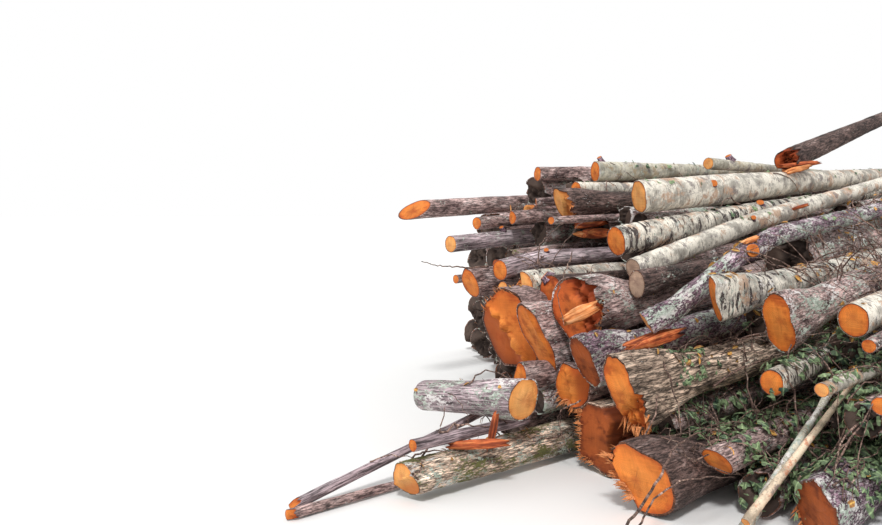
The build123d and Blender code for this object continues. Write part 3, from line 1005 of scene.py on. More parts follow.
def birch_material(name, skin, warm, lines_share=0.8):
    """Birch bark: pale skin with fine lines across the log, dark scars, and buff places where it peels."""
    _, wire = start_material(name)
    moved, tone = log_inputs(wire)
    broad = wire.cloud(wire.stretch(moved, (1, 1, 0.7)), 7.0, 6.0, 0.68)
    color = wire.mix(wire.step(broad, 0.40, 0.58), scaled(skin, 0.45), skin)
    peel = wire.cloud(wire.shift(moved, (7, 3, 1)), 6.0, 6.0, 0.7)
    color = wire.mix(wire.step(peel, 0.53, 0.60, 0.0, 0.85), color, warm)
    grey = wire.cloud(wire.shift(moved, (1, 9, 4)), 9.0, 6.0, 0.7)
    color = wire.mix(wire.step(grey, 0.55, 0.62, 0.0, 0.8), color, (0.22, 0.19, 0.185))
    speck = wire.cloud(wire.stretch(moved, (1, 1, 1.6)), 90.0, 3.0, 0.7)
    color = wire.mix(wire.step(speck, 0.57, 0.66, 0.0, 0.7), color, (0.14, 0.10, 0.085))
    lines = wire.cloud(wire.stretch(moved, (0.6, 0.6, 7.0)), 16.0, 3.0, 0.6)
    color = wire.mix(wire.step(lines, 0.57, 0.66, 0.0, lines_share), color, (0.10, 0.075, 0.06))
    scar = wire.cloud(wire.stretch(moved, (0.75, 0.75, 1.9)), 9.0, 6.0, 0.7, 0.5)
    edge = wire.sum("SUBTRACT", 0.72, wire.sum("MULTIPLY", tone[2], 0.21))
    dark = wire.step(wire.sum("SUBTRACT", scar, edge), -0.015, 0.02)
    black = wire.mix(wire.step(speck, 0.4, 0.6), (0.025, 0.02, 0.02), (0.11, 0.085, 0.08))
    color = wire.mix(dark, color, black)
    crusts = {"Base": color, "Place": moved, "Lichen": tone[0], "Moss": tone[1], "Size": 14.0}
    over = wire.group("Lichen and moss", crusts)
    sunk = wire.sum("ADD", dark, wire.sum("MULTIPLY", lines, 0.4))
    height = wire.sum("SUBTRACT", wire.sum("MULTIPLY", broad, 0.6), sunk)
    height = wire.sum("ADD", height, wire.sum("MULTIPLY", speck, 0.35))
    finish_material(wire, over["Color"], wire.step(dark, 0, 1, 0.62, 0.85), height, 0.6)


def cut_material(name, heart, middle, rim, dark):
    """A cut: rings round the heart, another colour towards the bark, with saw marks and heart checks."""
    _, wire = start_material(name)
    place = wire.read("log_place")
    chance = wire.read("log_chance", "Fac")
    edge = wire.read("log_edge", "Fac")
    deep = wire.read("log_deep", "Fac")
    rings = wire.group("Growth rings", {"Place": place, "Chance": chance, "Width": RING_WIDTH})
    color = wire.mix(wire.step(edge, 0.25, 0.8), heart, middle)
    uneven = wire.sum("ADD", edge, wire.sum("MULTIPLY", wire.sum("SUBTRACT", rings["Stain"], 0.5), 0.5))
    color = wire.mix(wire.step(uneven, 0.72, 0.98), color, rim)
    color = wire.mix(wire.step(rings["Stain"], 0.50, 0.68, 0.0, 0.75), color, dark)
    tint = wire.cloud(wire.shift(place, (4.0, 8.0, 2.0)), 5.0, 3.0, 0.6)
    color = wire.shade(color, wire.step(tint, 0.35, 0.65, 0.78, 1.12))
    fibres = wire.cloud(wire.stretch(place, (55.0, 5.0, 5.0)), 1.0, 4.0, 0.7)
    color = wire.shade(color, wire.step(fibres, 0.38, 0.62, 0.93, 1.05))
    color = wire.mix(wire.sum("MULTIPLY", rings["Ring"], 0.35), color, scaled(middle, 0.62))
    color = wire.mix(wire.step(rings["Marks"], 0.5, 0.7, 0.0, 0.22), color, scaled(middle, 1.5))
    color = wire.mix(wire.sum("MULTIPLY", rings["Heart"], 0.5), color, dark)
    # The heart checks are painted near black: painted shade inside the cracks
    color = wire.mix(wire.sum("MULTIPLY", rings["Check"], 0.4), color, scaled(dark, 0.3))
    # Where the face lies deeper under the plane of the cut it is painted darker: first towards the rim
    # colour, partly weathered wood and partly painted shade on receding notches, then near black, painted
    # shade in deep breaks and hollows
    color = wire.mix(wire.step(deep, 0.022, 0.055, 0.0, 0.75), color, scaled(rim, 0.8))
    color = wire.mix(wire.step(deep, 0.09, 0.22, 0.0, 0.95), color, (0.035, 0.012, 0.008))
    marks = wire.sum("MULTIPLY", rings["Marks"], 0.6)
    raised = wire.sum("ADD", wire.sum("MULTIPLY", rings["Ring"], 0.25), marks)
    height = wire.sum("SUBTRACT", raised, rings["Check"])
    finish_material(wire, color, wire.step(rings["Stain"], 0.2, 0.9, 0.62, 0.85), height, 0.5, 0.0025)


def split_material(name, pale, middle, dark):
    """Wood that was torn open: long fibres in streaks."""
    _, wire = start_material(name)
    place = wire.read("log_place")
    fibre = wire.cloud(wire.stretch(place, (1, 1, 0.08)), 60.0, 4.0, 0.6)
    color = wire.mix(wire.step(fibre, 0.38, 0.52), dark, middle)
    color = wire.mix(wire.step(fibre, 0.5, 0.64), color, pale)
    color = wire.shade(color, wire.step(wire.cloud(place, 9.0, 3.0), 0.35, 0.65, 0.65, 1.2))
    finish_material(wire, color, wire.step(fibre, 0, 1, 0.6, 0.85), fibre, 0.7)


def leaf_material(name, dark, light, shine):
    """Leaves that differ from one to the next, with a paler middle vein."""
    _, wire = start_material(name)
    color = wire.mix(wire.read("leaf_tint", "Fac"), dark, light)
    vein = wire.step(wire.sum("ABSOLUTE", wire.read("leaf_middle", "Fac")), 0.12, 0.0, 0.0, 0.5)
    color = wire.mix(vein, color, scaled(light, 2.2))
    blotch = wire.cloud(wire.add("TexCoord")["Object"], 60.0, 3.0)
    color = wire.shade(color, wire.step(blotch, 0.3, 0.7, 0.7, 1.3))
    finish_material(wire, color, wire.step(blotch, 0, 1, shine, shine + 0.2), blotch, 0.3, 0.001)


BARK_LOOKS = {  # dark, middle and light, then the size of the streaks, the painted shade in the furrows, stretch and bump
    "Twig bark": ((0.06, 0.035, 0.03), (0.20, 0.125, 0.10), (0.42, 0.31, 0.25), 30.0, 0.2, 0.2, 0.3),
    "Purple brown bark": ((0.075, 0.042, 0.042), (0.41, 0.285, 0.265), (0.70, 0.56, 0.53)),
    "Dark wet bark": ((0.030, 0.019, 0.017), (0.125, 0.080, 0.070), (0.29, 0.21, 0.19)),
    "Ridged bark": ((0.10, 0.070, 0.052), (0.62, 0.46, 0.35), (0.90, 0.77, 0.63), 12.0, 0.75, 0.2, 1.0),
    "Grey weathered bark": (
        (0.12, 0.09, 0.095), (0.33, 0.255, 0.27), (0.56, 0.47, 0.49), 10.0, 0.4, 0.12, 0.5),
    "Lichened bark": (
        (0.060, 0.030, 0.045), (0.25, 0.16, 0.20), (0.58, 0.46, 0.50), 14.0, 0.6, 0.35, 0.9),
    "Bark section": ((0.05, 0.022, 0.014), (0.14, 0.055, 0.03), (0.22, 0.10, 0.06), 30.0, 0.3, 1.0, 0.4),
}
CUT_LOOKS = {  # heart, middle, rim and stains
    "Red cut": ((0.62, 0.155, 0.03), (0.55, 0.11, 0.022), (0.30, 0.045, 0.01), (0.17, 0.025, 0.008)),
    "Deep red cut": ((0.42, 0.10, 0.022), (0.34, 0.075, 0.016), (0.16, 0.03, 0.008), (0.10, 0.018, 0.006)),
    "Pale cut": ((0.86, 0.42, 0.14), (0.84, 0.36, 0.10), (0.62, 0.18, 0.04), (0.58, 0.19, 0.055)),
    "Weathered cut": ((0.52, 0.36, 0.26), (0.47, 0.32, 0.23), (0.28, 0.185, 0.13), (0.22, 0.13, 0.10)),
    # Dull cut: aged brown wood, made darker still as painted shade, for the ends of the logs inside the stack
    "Dull cut": ((0.10, 0.066, 0.05), (0.075, 0.048, 0.037), (0.04, 0.025, 0.02), (0.03, 0.018, 0.014)),
}


def make_materials(settings):
    """All materials and node groups, in the colours that the settings give."""
    lichen_group()
    rings_group()
    split_material("Split wood", (0.87, 0.43, 0.20), (0.76, 0.28, 0.09), (0.42, 0.11, 0.03))
    split_material("Split red wood", (0.74, 0.26, 0.09), (0.50, 0.11, 0.035), (0.20, 0.04, 0.015))
    leaf_material("Ivy leaf", (0.025, 0.05, 0.035), tuple(settings.ivy_color), 0.35)
    leaf_material("Dead leaf", (0.16, 0.07, 0.03), tuple(settings.dead_leaf_color), 0.6)
    for name, look in BARK_LOOKS.items():
        bark_material(name, *look)
    birch_material("Birch bark", tuple(settings.birch_color), (0.52, 0.33, 0.22))
    birch_material("Peeled birch bark", (0.84, 0.68, 0.50), (0.58, 0.22, 0.12), 0.0)
    birch_material("Greenish birch bark", (0.68, 0.64, 0.52), (0.42, 0.32, 0.20))
    cut = tuple(settings.cut_color)
    cut_material("Orange cut", cut, (0.76, 0.21, 0.032), (0.52, 0.09, 0.015), (0.42, 0.075, 0.015))
    for name, look in CUT_LOOKS.items():
        cut_material(name, *look)


# The logs: bark, cut, (lichen, moss, dark scars), face, and the lean and clock of an oblique cut

BARKS = {  # material, relief and slot
    "purple": ("Purple brown bark", "smooth", "rough_bark"),
    "dark": ("Dark wet bark", "smooth", "rough_bark"),
    "ridged": ("Ridged bark", "ridged", "rough_bark"),
    "mossy": ("Ridged bark", "shaggy", "rough_bark"),
    "grey": ("Grey weathered bark", "smooth", "rough_bark"),
    "lichen": ("Lichened bark", "plated", "rough_bark"),
    "shaggy": ("Lichened bark", "shaggy", "rough_bark"),
    "split": ("Split wood", "ridged", "inner_bark"),
    "birch": ("Birch bark", "birch", "birch_bark"),
    "peeled": ("Peeled birch bark", "birch", "birch_bark"),
    "green": ("Greenish birch bark", "birch", "birch_bark"),
}
CUTS = {
    "orange": "Orange cut",
    "red": "Red cut",
    "deep": "Deep red cut",
    "pale": "Pale cut",
    "old": "Weathered cut",
}
ALDER_LOGS = {
    "wedge_tipped_log": ("purple", "orange", (0.1, 0.0, 0), sawn(), (58, 135)),
    "upper_left_log": ("purple", "pale", (0.1, 0.0, 0), torn(0, 0.2, 0.06)),
    "top_left_log": ("purple", "orange", (0.2, 0.1, 0), sawn(), (14, 0)),
    "red_end_log": ("dark", "pale", (0.1, 0.05, 0), torn(330, 0.25, 0.10), (32, 300)),
    "thin_upper_log": ("purple", "orange", (0.2, 0.1, 0), sawn()),
    "sliver_end_log": ("dark", "pale", (0.2, 0.1, 0), sawn()),
    "left_middle_log": ("purple", "orange", (0.3, 0.3, 0), sawn()),
    "notched_end_log": ("purple", "orange", (0.2, 0.1, 0), felled(0, 0.1, 25, 0.03)),
    "thin_middle_log": ("purple", "orange", (0.2, 0.1, 0), sawn()),
    "left_log": ("grey", "pale", (0.3, 0.0, 0), sawn()),
    "oblique_cut_log": ("purple", "orange", (0.1, 0.1, 0), sawn()),
    "curved_pole": ("grey", "orange", (0.1, 0.0, 0), sawn()),
    "pole_under_curve": ("dark", "pale", (0.1, 0.0, 0), sawn()),
    "small_stub_log": ("purple", "red", (0.1, 0.0, 0), torn(0, 0.0, 0.04)),
    "low_left_pole": ("purple", "orange", (0.1, 0.1, 0), sawn()),
    "crooked_log": ("lichen", "pale", (0.48, 0.05, 0), sawn(), (45, 320)),
    "oval_forked_log": ("purple", "orange", (0.4, 0.1, 0), sawn(100), (14, 285)),
    "right_pole": ("purple", "orange", (0.2, 0.1, 0), sawn()),
    "grey_end_log": ("dark", "old", (0.2, 0.1, 0), sawn()),
    "dark_purple_log": ("dark", "red", (0.0, 0.0, 0), sawn()),
    "lichen_log": ("lichen", "deep", (0.45, 0.1, 0), sawn(60), (34, 282)),
    "ridged_bark_log": ("ridged", "orange", (0.05, 0.05, 0), torn(290, 0.25, 0.07, 0.02), (34, 262)),
    "hollow_butt_log": ("ridged", "deep", (0.1, 0.25, 0), torn(5, 0.2, 0.34, 0.06)),
    "lobed_butt_log": ("purple", "orange", (0.2, 0.1, 0), felled(10, 0.05, 30, 0.03, 0.08), (10, 240)),
    "large_front_log": ("purple", "red", (0.3, 0.0, 0), torn(20, 0.3, 0.10), (14, 240)),
    "front_middle_log": ("purple", "orange", (0.3, 0.0, 0), felled(20, 0.5, 25, 0.012, 0.05), (48, 274)),
    "stepped_cut_log": ("purple", "orange", (0.1, 0.0, 0), felled(218, -0.1, 30, 0.05, 0.1), (30, 205)),
    "small_front_log": ("purple", "orange", (0.2, 0.1, 0), sawn()),
    "cross_log": ("grey", "pale", (0.42, 0.05, 0), sawn(20, 0.008), (24, 300)),
    "long_ground_pole": ("grey", "orange", (0.1, 0.0, 0), torn(90, 0.2, 0.05)),
    "short_ground_pole": ("purple", "orange", (0.1, 0.0, 0), torn(0, 0.0, 0.06)),
    "smooth_pole": ("grey", "orange", (0.0, 0.0, 0), sawn()),
    "mossy_ground_log": ("mossy", "pale", (0.4, 0.7, 0), felled(300, 0.0, 25, 0.02)),
    "splintered_ground_log": ("dark", "orange", (0.05, 0.05, 0), torn(150, 0.72, 0.10, 0.02), (26, 245)),
    "low_right_log": ("purple", "orange", (0.2, 0.2, 0), sawn()),
    "purple_bark_log": ("lichen", "deep", (0.38, 0.1, 0), sawn(30, 0.01), (42, 350)),
    "right_low_log": ("purple", "orange", (0.2, 0.2, 0), sawn()),
    "back_dark_log": ("dark", "red", (0.05, 0.0, 0), torn(0, -0.6, 0.16)),
    "split_orange_log": ("split", "orange", (0.0, 0.0, 0), torn(0, -0.2, 0.1)),
    "lichen_branch": ("green", "pale", (0.5, 0.3, 0.4), sawn()),
    "pale_pole": ("peeled", "pale", (0.0, 0.0, 0.0), sawn()),
}
BIRCH_LOGS = {
    "top_stubbed_log": ("green", "orange", (0.3, 0.3, 0.2), sawn()),
    "top_birch_log": ("birch", "orange", (0.2, 0.0, 0.3), sawn()),
    "split_birch_log": ("birch", "pale", (0.3, 0.0, 0.6), torn(200, -0.1, 0.12)),
    "big_birch_log": ("birch", "pale", (0.1, 0.1, 0.2), sawn(60), (26, 345)),
    "dark_patched_birch_log": ("birch", "orange", (0.2, 0.05, 0.9), sawn(90), (14, 330)),
    "slender_birch_log": ("birch", "old", (0.15, 0.0, 0.35), sawn(), (10, 330)),
    "forked_birch_log": ("birch", "orange", (0.3, 0.1, 0.8), sawn(90), (38, 335)),
    "right_birch_log": ("birch", "orange", (0.2, 0.1, 0.4), sawn(0)),
    "white_birch_pole": ("birch", "orange", (0.1, 0.0, 1.0), sawn()),
    "thin_right_pole": ("birch", "pale", (0.1, 0.0, 0.5), sawn()),
    "back_birch_pole": ("green", "pale", (0.2, 0.0, 0.3), sawn()),
}
SWELLS = {  # shapes of the butts that flare, as swell reads them
    "stepped_cut_log": dict(side=1.3, rise=1.85, flats=((130, 0.8), (25, 0.85), (270, 0.85))),
    "front_middle_log": dict(side=1.0, rise=2.1, lobes=(0.16, 20)),
    "large_front_log": dict(side=1.15, rise=1.6, flats=((225, 0.78), (320, 0.72))),
    "lichen_log": dict(side=0.95, rise=1.65),
    "ridged_bark_log": dict(side=0.85, rise=1.8, flats=((0, 0.7), (180, 0.75)), shift=(0.0, -0.02)),
    "hollow_butt_log": dict(side=1.1, rise=1.1, flats=((180, 0.78), (90, 0.82), (250, 0.9))),
    "lobed_butt_log": dict(side=1.1, rise=1.45, flats=((150, 0.85),), lobes=(0.22, 75)),
    "cross_log": dict(side=1.0, rise=1.25, flats=((80, 0.9),)),
    "splintered_ground_log": dict(
        side=1.35, rise=1.35, flats=((205, 0.62), (70, 0.9)), shift=(-0.02, 0.03)),
    "small_front_log": dict(side=0.9, rise=1.5, flats=((150, 0.8), (330, 0.8))),
    "oval_forked_log": dict(side=0.95, rise=1.55, lobes=(0.16, 10)),
    "forked_birch_log": dict(side=0.85, rise=1.3, flats=((0, 0.7),)),
    "red_end_log": dict(side=1.0, rise=1.3, flats=((310, 0.8),)),
    "big_birch_log": dict(side=1.25, rise=1.4, reach=4.0),
    "dark_patched_birch_log": dict(side=1.25, rise=1.35, reach=4.0),
    "slender_birch_log": dict(side=1.4, rise=1.5, reach=4.5),
    "crooked_log": dict(side=1.35, rise=1.45, reach=4.5),
    "back_dark_log": dict(side=1.3, rise=1.4, reach=4.0),
    "back_birch_pole": dict(side=1.2, rise=1.2, reach=3.0),
    "lichen_branch": dict(side=1.5, rise=1.5, reach=3.0),
    "curved_pole": dict(side=1.35, rise=1.4, reach=3.0),
    "split_birch_log": dict(side=1.35, rise=1.5, reach=3.0),
    "top_left_log": dict(side=1.3, rise=1.45, reach=3.0),
    "top_birch_log": dict(side=1.3, rise=1.4, reach=3.0),
    "top_stubbed_log": dict(side=1.1, rise=1.2, reach=3.0),
    "wedge_tipped_log": dict(side=1.2, rise=1.25, reach=3.0),
    "white_birch_pole": dict(side=1.15, rise=1.2, reach=3.0),
    "right_birch_log": dict(side=1.0, rise=1.1),
    "grey_end_log": dict(side=0.9, rise=1.3),
    "oblique_cut_log": dict(side=1.0, rise=1.25, flats=((130, 0.8),)),
    "purple_bark_log": dict(side=1.0, rise=1.0, flats=((120, 0.85), (60, 0.9))),
}
HIDDEN_NODES = (
    "ground_layer_logs", "second_layer_logs", "third_layer_logs", "fourth_layer_logs",
    "top_layer_logs", "inner_front_logs", "right_flank_logs",
)


def dress_log(node, bark, cut, tones, face, lean=None):
    """Replaces the solid of one shown log by its dressed shape."""
    finish, relief, slot = BARKS[bark]
    made = []
    for part in loose_parts(node):
        stem = Stem(*part)
        made.append(log_mesh(stem, node, relief, face, tones, SHOWN_DETAIL, lean))
        if node in SWELLS:
            swell(made[-1], stem, **SWELLS[node])
    piece = make_object(node + "_look", made, (finish, CUTS[cut], "Bark section"))
    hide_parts(node)


def dress_hidden(node):
    """The logs inside the stack, which show only from behind, above and the sides."""
    made = []
    for k, part in enumerate(loose_parts(node)):
        name = f"{node}_{k}"
        seed = seed_of(name)
        relief = ("smooth", "plated", "ridged")[seed % 3]
        tones = (0.15 + seed % 7 / 14, 0.1 + seed % 5 / 12, 0)
        face = torn(seed % 360, -0.3, 0.07, 0.05)
        made.append(log_mesh(Stem(*part), name, relief, face, tones, HIDDEN_DETAIL))
    # The ends of the inner logs get the dull cut, darkened as painted shade of the inside of the stack
    finishes = ("Purple brown bark", "Dull cut", "Bark section")
    piece = make_object(node + "_look", made, finishes)
    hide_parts(node)


# What lies on the logs

STUBS = (  # log, distance from its butt, angle round it, radius and length
    ("crooked_log", 1.18, 20, 0.045, 0.025),
    ("top_stubbed_log", 0.12, 95, 0.022, 0.05),
    ("back_birch_pole", 0.40, 100, 0.03, 0.05),
    ("dark_patched_birch_log", 1.9, 60, 0.03, 0.02),
    ("slender_birch_log", 1.5, 40, 0.02, 0.03),
    ("big_birch_log", 0.95, 30, 0.03, 0.02),
    ("left_log", 0.6, 80, 0.02, 0.03),
    ("curved_pole", 0.5, 60, 0.02, 0.03),
    ("dark_purple_log", 0.05, 130, 0.04, 0.01),
)
CHUNKS = (  # place beside a log, direction, (length, width, thickness), red or not
    (("thin_middle_log", 0.67, 195, 0.13), (0.5, -0.8, 0.15), (0.26, 0.12, 0.09), True),
    (("thin_middle_log", 0.65, 235, 0.12), (1.0, -0.2, 0.0), (0.22, 0.13, 0.08), True),
    (("thin_middle_log", 0.62, 218, 0.20), (0.3, -0.9, -0.1), (0.18, 0.07, 0.05), False),
    (("large_front_log", -0.04, 15, -0.04), (0.71, -0.56, 0.42), (0.20, 0.025, 0.085), False),
    (("mossy_ground_log", 0.58, 60, 0.10), (0.1, -0.2, 1.0), (0.20, 0.03, 0.05), True),
    (("mossy_ground_log", 0.48, 50, 0.05), (0.78, -0.62, 0.05), (0.32, 0.03, 0.055), True),
    (("ridged_bark_log", 0.42, 112, 0.09), (1.0, 0.05, 0.08), (0.50, 0.11, 0.07), True),
    (("back_dark_log", 0.12, 325, 0.01), (0.7, -0.7, 0.1), (0.32, 0.07, 0.05), True),
    (("back_dark_log", 0.0, 325, 0.05), (0.9, -0.3, 0.2), (0.26, 0.06, 0.05), False),
    (("back_dark_log", 0.18, 285, 0.01), (0.4, -0.9, 0.2), (0.22, 0.08, 0.05), True),
    (("slender_birch_log", 2.14, 20, 0.03), (0.6, -0.7, 0.3), (0.14, 0.05, 0.03), True),
    (("crooked_log", 1.2, 60, 0.03), (0.9, -0.2, 0.3), (0.12, 0.05, 0.03), False),
)
SPLINTERS = (  # log, from and to which angle of its rim, number, longest, forwards and outwards
    ("splintered_ground_log", 140, 245, 110, 0.075, 0.35, 0.9),
    ("hollow_butt_log", 140, 250, 80, 0.06, 0.45, 0.8),
    ("ridged_bark_log", 235, 300, 50, 0.095, 0.3, 0.9),
    ("split_birch_log", 170, 330, 40, 0.24, 1.0, 0.55),
    ("red_end_log", 270, 350, 30, 0.06, 0.7, 0.5),
    ("large_front_log", 310, 400, 30, 0.06, 0.5, 0.6),
    ("lobed_butt_log", 200, 280, 30, 0.08, 0.4, 0.8),
    ("stepped_cut_log", 70, 130, 20, 0.06, 0.6, 0.6),
    ("upper_left_log", 250, 350, 16, 0.07, 0.8, 0.4),
    ("purple_bark_log", 200, 300, 24, 0.08, 0.8, 0.4),
)
LOWER_FLANK = (
    "right_flank_logs", "splintered_ground_log", "low_right_log", "white_birch_pole",
    "thin_right_pole", "right_low_log", "purple_bark_log",
)
FLANK = ("right_flank_logs", "ridged_bark_log", *LOWER_FLANK[1:])
CROWN = ("forked_birch_log", "oval_forked_log", "right_birch_log", "right_flank_logs", "crooked_log")
TOP = (
    "big_birch_log", "top_stubbed_log", "top_birch_log", "dark_patched_birch_log",
    "slender_birch_log", "crooked_log",
)
FRONT = (
    "mossy_ground_log", "cross_log", "stepped_cut_log", "large_front_log", "lichen_log",
    "ridged_bark_log",
)
LEAF_REGIONS = (
    # piece, logs, lowest and highest corner of the region, number of leaves, finish,
    # smallest and largest leaf, least upward direction of the bark, greatest gap from it
    ("ivy_on_flank", LOWER_FLANK, (-2.2, -2.2, 0.1), (-0.4, -0.9, 0.9),
     2600, "Ivy leaf", (0.032, 0.066), 0.0, 0.05),
    ("ivy_on_inner_butts", ("right_flank_logs",), (-2.3, -2.9, 0.02), (-1.2, -1.5, 0.9),
     420, "Ivy leaf", (0.032, 0.062), -0.6, 0.03),
    ("ivy_on_ridges", ("ridged_bark_log",), (-2.15, -1.4, 0.4), (-1.75, -0.9, 0.9),
     90, "Ivy leaf", (0.022, 0.048), 0.0, 0.02),
    ("ivy_on_right_log", ("purple_bark_log",), (-1.9, -2.3, 0.0), (-1.0, -1.6, 0.5),
     260, "Ivy leaf", (0.03, 0.055), 0.0, 0.03),
    ("ivy_on_top", TOP, (-1.2, -1.2, 0.9), (3.5, 0.8, 2.6),
     150, "Ivy leaf", (0.03, 0.06), 0.25, 0.01),
    ("dead_leaves", CROWN + FLANK, (-2.3, -2.6, 0.1), (2.5, -0.7, 1.9),
     900, "Dead leaf", (0.03, 0.07), 0.3, 0.02),
    ("dead_leaves_on_inner_butts", ("right_flank_logs",), (-1.45, -1.9, 0.9), (-0.5, -0.9, 1.8),
     160, "Dead leaf", (0.03, 0.07), -0.6, 0.03),
    ("dead_leaves_low", FRONT, (-4.5, -1.6, 0.1), (-0.5, 0.6, 1.4),
     90, "Dead leaf", (0.025, 0.055), 0.3, 0.01),
)
IVY_OUTLINE = (
    (0, -0.5), (0.42, -0.42), (0.5, -0.05), (0.22, 0.05), (0.0, 0.55),
    (-0.22, 0.05), (-0.5, -0.05), (-0.42, -0.42),
)
DEAD_OUTLINE = (
    (0, -0.5, 0), (0.25, -0.2, 0.1), (0.28, 0.2, 0.13), (0, 0.5, 0.05), (-0.28, 0.2, 0.13),
    (-0.25, -0.2, 0.1),
)
SPIKE = (
    ((0.5, 0, 0), (-0.3, 0.3, 0), (-0.3, -0.3, 0), (0.2, 0.1, 0.6), (-0.2, 0.15, 0.6),
     (-0.15, -0.2, 0.55), (0.1, 0.0, 1.0)),
    ((2, 1, 0), (0, 1, 4, 3), (1, 2, 5, 4), (2, 0, 3, 5), (3, 4, 6), (4, 5, 6), (5, 3, 6)),
)
TWIG_REGIONS = (
    # logs, lowest and highest corner of the region, number of twigs, reach and height of the bow
    (FLANK, (-2.5, -2.4, 0.1), (-0.6, -0.8, 0.9), 320, 0.5, 0.10),
    (CROWN, (-1.3, -2.2, 0.8), (2.4, -0.9, 1.9), 420, 0.6, 0.13),
    (("big_birch_log", "top_stubbed_log", "red_end_log", "dark_patched_birch_log", "top_layer_logs"),
     (-0.9, -0.7, 1.3), (2.5, 0.9, 2.5), 60, 0.5, 0.05),
    (("curved_pole", "left_middle_log", "notched_end_log", "red_end_log", "split_birch_log",
      "large_front_log"), (-2.6, -0.6, 0.8), (0.5, 1.6, 1.9), 60, 0.4, 0.06),
    (("mossy_ground_log", "smooth_pole", "long_ground_pole", "cross_log"),
     (-4.2, -0.9, 0.0), (-1.8, 0.4, 0.6), 26, 0.4, 0.04),
)
TWIG_STEPS = 9  # points along a twig
BRANCHES = (  # thickness as a share, log, then the points that it passes beside the log
    (1.5, "splintered_ground_log", (-0.32, 300, 0.0), (-0.25, 0, 0.0), (-0.15, 35, 0.12),
     (0.0, 50, 0.15), (0.3, 60, 0.12), (0.6, 70, 0.06)),
    (1.0, "splintered_ground_log", (-0.25, 340, 0.02), (-0.2, 15, 0.06), (-0.1, 25, 0.16),
     (0.1, 20, 0.2), (0.4, 10, 0.15)),
    (1.0, "splintered_ground_log", (0.0, 48, 0.15), (0.2, 30, 0.12), (0.45, 10, 0.12),
     (0.7, 0, 0.1)),
    (0.8, "ridged_bark_log", (0.55, 80, 0.01), (0.65, 85, 0.06), (0.75, 80, 0.08),
     (0.95, 75, 0.02)),
    (1.0, "hollow_butt_log", (-0.04, 120, 0.0), (-0.12, 150, 0.02), (-0.1, 180, 0.0),
     (-0.06, 215, 0.0)),
    (0.9, "split_birch_log", (0.05, 60, 0.12), (0.1, 75, 0.25), (0.3, 80, 0.35), (0.5, 75, 0.45)),
    (0.7, "split_birch_log", (0.15, 50, 0.1), (0.25, 60, 0.28), (0.4, 65, 0.42), (0.7, 65, 0.5)),
    (1.5, "oblique_cut_log", (0.14, 60, 0.02), (-0.22, 35, 0.14), (-0.42, 30, 0.25),
     (-0.57, 30, 0.28), (-0.71, 35, 0.3)),
    (0.8, "large_front_log", (0.0, 85, 0.2), (-0.1, 80, 0.07), (-0.16, 70, -0.02),
     (-0.18, 350, -0.05)),
    (1.4, "ridged_bark_log", (0.65, 345, 0.02), (0.85, 5, 0.04), (1.1, 15, 0.12), (1.4, 25, 0.25)),
    (1.2, "low_right_log", (0.95, 60, 0.15), (1.2, 55, 0.25), (1.45, 50, 0.35)),
)

# The stage, in metres and degrees
CAMERA_PLACE = (-5.84, -3.745)
CAMERA_WAY = (0.616, 0.788, 0)
CAMERA_SHIFT = -0.0539
LAMPS = {  # direction, apparent size and strength
    "key": ((38, 0, -50), 9.0, 2.0),
    "fill": ((60, 0, -120), 30.0, 0.4),
}


class LogStackSettings(bpy.types.PropertyGroup):
    cut_color: FloatVectorProperty(
        name="Cut colour", description="Colour of the fresh orange cuts at their heart",
        default=(0.82, 0.27, 0.05), subtype="COLOR")
    birch_color: FloatVectorProperty(
        name="Birch colour", description="Colour of the pale birch bark",
        default=(0.87, 0.81, 0.70), subtype="COLOR")
    ivy_color: FloatVectorProperty(
        name="Ivy colour", description="Colour of the palest ivy leaves",
        default=(0.19, 0.26, 0.13), subtype="COLOR")
    dead_leaf_color: FloatVectorProperty(
        name="Dead leaf colour", description="Colour of the palest dead leaves",
        default=(0.62, 0.30, 0.08), subtype="COLOR")
    leaf_size: FloatProperty(
        name="Leaf size", description="Size of all leaves as a share of their usual size", default=1.0)
    twig_thickness: FloatProperty(
        name="Twig thickness", description="Radius of a middling twig where it starts",
        default=0.0055, unit="LENGTH")
    twig_sides: IntProperty(
        name="Twig sides", description="Number of flat sides round a twig", default=5)
    lens: FloatProperty(
        name="Lens", description="Focal length of the camera, in millimetres", default=30.2)
    camera_height: FloatProperty(
        name="Camera height", description="Height of the camera over the ground",
        default=1.6, unit="LENGTH")
    floor_color: FloatVectorProperty(
        name="Floor colour", description="Colour of the floor",
        default=(0.84, 0.84, 0.83), subtype="COLOR")
    floor_size: FloatProperty(
        name="Floor size", description="Width of the floor", default=900.0, unit="LENGTH")


class LOGS_OT_alder(bpy.types.Operator):
    """Dresses the alder logs with rough bark and orange cuts"""

    bl_idname = "logs.alder"
    bl_label = "Alder logs"

    def execute(self, context):
        for node, look in ALDER_LOGS.items():
            dress_log(node, *look)
        return {"FINISHED"}


class LOGS_OT_birch(bpy.types.Operator):
    """Dresses the birch logs with pale bark"""

    bl_idname = "logs.birch"
    bl_label = "Birch logs"

    def execute(self, context):
        for node, look in BIRCH_LOGS.items():
            dress_log(node, *look)
        return {"FINISHED"}


class LOGS_OT_hidden(bpy.types.Operator):
    """Dresses the logs inside the stack"""

    bl_idname = "logs.hidden"
    bl_label = "Inner logs"

    def execute(self, context):
        for node in HIDDEN_NODES:
            dress_hidden(node)
        return {"FINISHED"}


